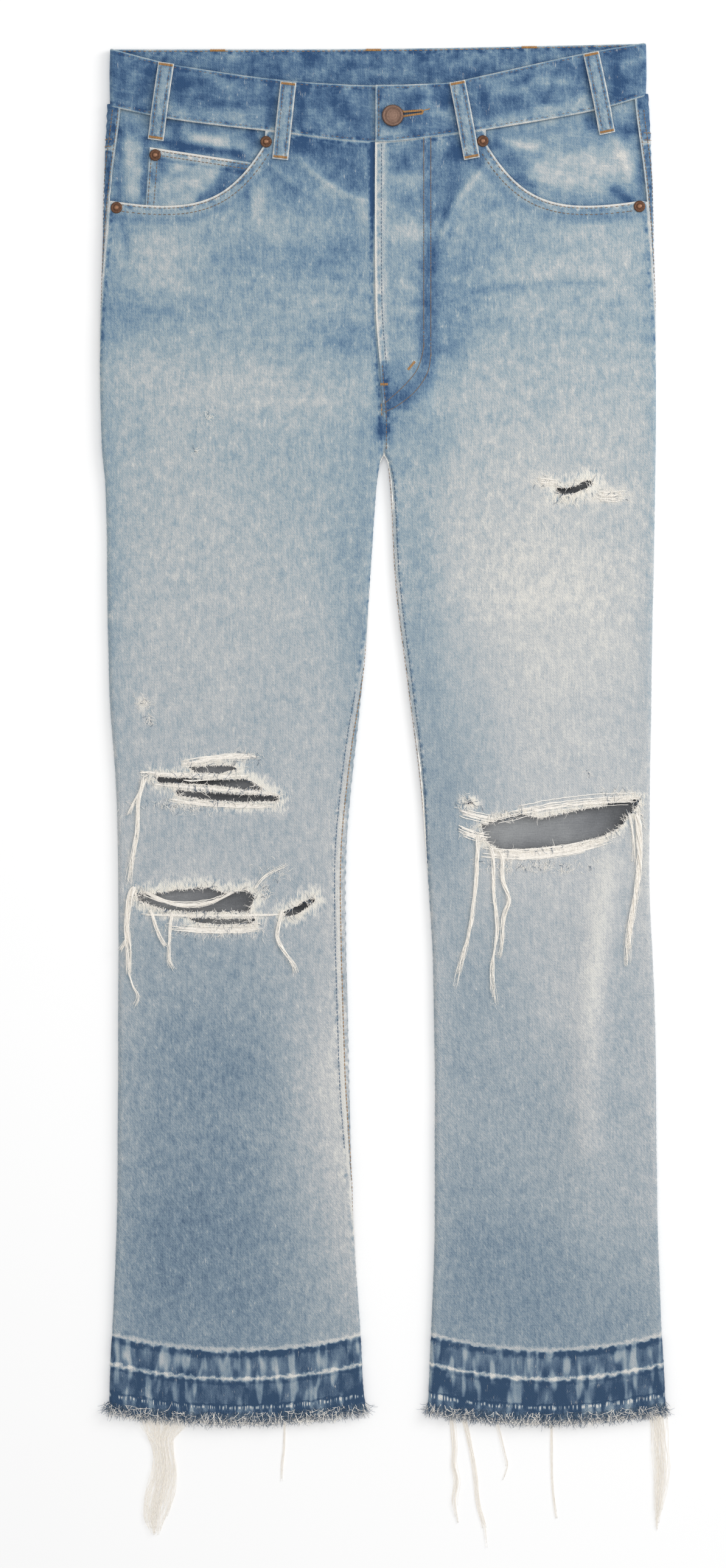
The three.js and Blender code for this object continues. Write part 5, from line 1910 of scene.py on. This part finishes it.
tufts = {  # patches of loose fibres: x, down, half width, half height, heading in degrees, spread and number
    "right": [
        (-131.4, 290.5, 3, 2, 0, 3, 16), (-141.9, 316.7, 2, 2, 0, 3, 12), (-183, 514, 5, 4, -60, 0.8, 50),
        (-178, 525, 3, 5, 90, 0.8, 30), (-103, 557, 12, 5, -50, 0.6, 70), (-146, 593, 28, 5, 90, 0.5, 170),
        (-126, 691, 32, 5, 90, 0.5, 190), (-84, 648, 14, 7, -40, 0.5, 46), (-180, 571, 5, 4, 180, 1, 40),
        (-188, 664, 5, 5, 100, 1, 50), (-90, 663, 7, 6, -50, 0.8, 60), (-98, 684, 8, 4, 20, 1, 50),
    ],
    "left": [
        (164.3, 568, 2, 2, 0, 3, 8), (70, 592, 6, 5, 200, 1, 60), (74, 616, 7, 4, 180, 0.8, 70),
        (132, 342, 7, 4, 190, 0.8, 50), (181, 352, 12, 4, 10, 0.8, 90), (148, 354, 10, 4, 90, 0.8, 50),
        (124, 641, 34, 5, 90, 0.5, 190), (204, 600, 4, 9, 60, 0.9, 60), (94, 604, 14, 4, -60, 0.7, 60),
        (190, 586, 14, 4, -60, 0.7, 60),
    ],
}

tuftThreads = {"length": (1.8, 5.5), "radius": (0.12, 0.22), "dyed": 0.12}
dangling = {"wider": 1.4, "more": 1.8, "radius": 0.28, "fray": 2.0}  # the first two times what danglers says


def layTufts(yarn, side):
    rng = yarn.random
    floor = clothTop(side)
    for x, down, wide, tall, heading, spread, count in tufts[side]:
        for _ in range(count):
            px, pd = rng.gauss(x, wide / 1.6), rng.gauss(down, tall / 1.6)
            turned = math.radians(heading) + rng.gauss(0, spread)
            yarn.fuzz(px, pd, floor(px, pd), turned, rng.uniform(*tuftThreads["length"]),
                      rng.uniform(*tuftThreads["radius"]), floor, rng.random() < tuftThreads["dyed"])


fringes = {}
for side in legs:
    fray = frayRips(side)
    layWeft(fray, side)
    layTufts(fray, side)
    hanging = Yarn(f"rip_threads_{side}", seeds["rip_threads"][side])
    for path, width, count in danglers[side]:
        hanging.rope(path, width * dangling["wider"], round(count * dangling["more"]), dangling["radius"],
                     clothTop(side), dangling["fray"])
    fringes[side] = [fray.piece(), hanging.piece()]
print("rips are frayed")


# Hem fringe, and hanks of pulled threads below it
hanks = {  # how many threads, and the centre line as (x, down, width)
    "right_big": (84, [(-169, 1072, 36), (-168.5, 1082, 30), (-169.5, 1090, 20), (-168.5, 1096, 17),
        (-166.6, 1111, 18), (-168.5, 1126, 21), (-172, 1141, 21), (-174.3, 1154, 16), (-173.8, 1166, 5)]),
    "right_small": (9, [(-72.5, 1074, 3), (-73, 1098, 3), (-74.5, 1110, 3), (-75, 1124, 2)]),
    "left_first": (16, [(58.5, 1072, 4), (61, 1096, 5), (60.5, 1110, 5), (63, 1124, 6), (61, 1140, 5),
        (64, 1158, 2)]),
    "left_second": (14, [(68, 1074, 4), (74.5, 1102, 4), (77, 1120, 4), (79.5, 1142, 4), (84, 1158, 4),
        (86, 1176, 2)]),
    "left_third": (7, [(93, 1076, 2.4), (100, 1103, 2.4), (101.5, 1112, 2.4), (98, 1123, 2)]),
    "left_fourth": (8, [(137, 1076, 3), (137, 1114, 3), (138.5, 1138, 3), (141.5, 1157, 2)]),
    "left_big": (44, [(219.5, 1066, 15), (221, 1082, 14), (222.2, 1096, 13), (222.9, 1111, 13),
        (222.6, 1126, 12), (221, 1141, 8), (219.5, 1154, 4), (219.5, 1163, 2)]),
}


fringe = {  # warp ends along the cut hem, and threads of weft that lie along it
    "spacing": 0.17, "spread": 0.6,
    "over": (5, 12), "start": (2, 6),  # length and start above the edge of those that lie over the cloth
    "under": (4, 10), "underStart": 1.5,
    "radius": (0.14, 0.25), "dyed": 0.72, "lowest": 0.15,
    "weft": 16, "weftRadius": (0.2, 0.34),
    "stretches": 60, "weftLength": (9, 21),  # a thread of weft takes up some of the stretches of the hem
}


def fringeHem(side):
    # threads all round the cut edge
    yarn = Yarn(f"hem_fringe_{side}_threads", seeds["hem_fringe"][side])
    rng = yarn.random
    hem, stretches = garment["hem"], fringe["stretches"]
    for face in (1, -1):
        start, end = outerSeam(side, face, hem), innerSeam(side, face, hem)
        count = round(abs(end - start) / fringe["spacing"])
        for k in range(count):
            u = mix(start, end, (k + rng.random()) / count)
            x, down, z = layOn(side, face, u, hem, 0)
            over = face > 0 and k % 2
            z += 0.15 if over else rng.uniform(0.1, 0.9) * -face
            length = rng.uniform(*fringe["over" if over else "under"])
            down -= rng.uniform(*fringe["start"]) if over else fringe["underStart"]
            heading = math.pi / 2 + rng.gauss(0, fringe["spread"])
            yarn.fuzz(x, down, z, heading, length, rng.uniform(*fringe["radius"]),
                      lambda px, pd: fringe["lowest"], rng.random() < fringe["dyed"])
        places = [mix(start, end, k / stretches) for k in range(stretches + 1)]
        for _ in range(fringe["weft"]):
            points = []
            shift, wave = rng.uniform(-1.0, 4.0), rng.uniform(0, 90)
            first = rng.randrange(0, 40)
            for u in places[first:first + rng.randrange(*fringe["weftLength"])]:
                x, down, z = layOn(side, face, u, hem, 0)
                down += shift + 1.4 * ripple(u / 9, wave)
                points.append((x, down, z - face * (0.5 + 0.3 * ripple(u / 5, wave))))
            yarn.strand(points, rng.uniform(*fringe["weftRadius"]), 0.8)
    return yarn


def drawHank(name, threads, centreLine, seed):
    yarn = Yarn(f"thread_hank_{name}_threads", seed)
    rng = yarn.random
    line = smoothPath(centreLine, 2.6)
    total = len(line) - 1
    for _ in range(threads):
        lane, wave = clamp(rng.gauss(0, 0.5), -0.95, 0.95), rng.uniform(0, 90)
        level = rng.uniform(0.25, 2.3)
        start, end = round(total * rng.uniform(0, 0.06)), total - round(total * rng.uniform(0, 0.22))
        points = []
        for k in range(start, end + 1):
            x, down, width = line[k]
            sway = lane + 0.35 * ripple(k * 0.13, wave)
            z = 0.2 + level * (0.6 + 0.4 * ripple(k * 0.1, wave + 9)) * clamp(width / 6, 0.5, 1)
            points.append((x + sway * width / 2, down, max(z, 0.2)))
        yarn.strand(points, rng.uniform(0.16, 0.27), 0.6)
    return yarn


for side in legs:
    made = fringeHem(side).piece()
    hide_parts(f"hem_fringe_{side}")
    fringes[side].append(made)
for k, (name, spec) in enumerate(hanks.items()):
    made = drawHank(name, *spec, seeds["thread_hank"] + k).piece()
    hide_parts(f"thread_hank_{name}")
    fringes[name.split("_")[0]].append(made)
print("hems are frayed")

for entry in sheets:
    piece = entry["piece"]
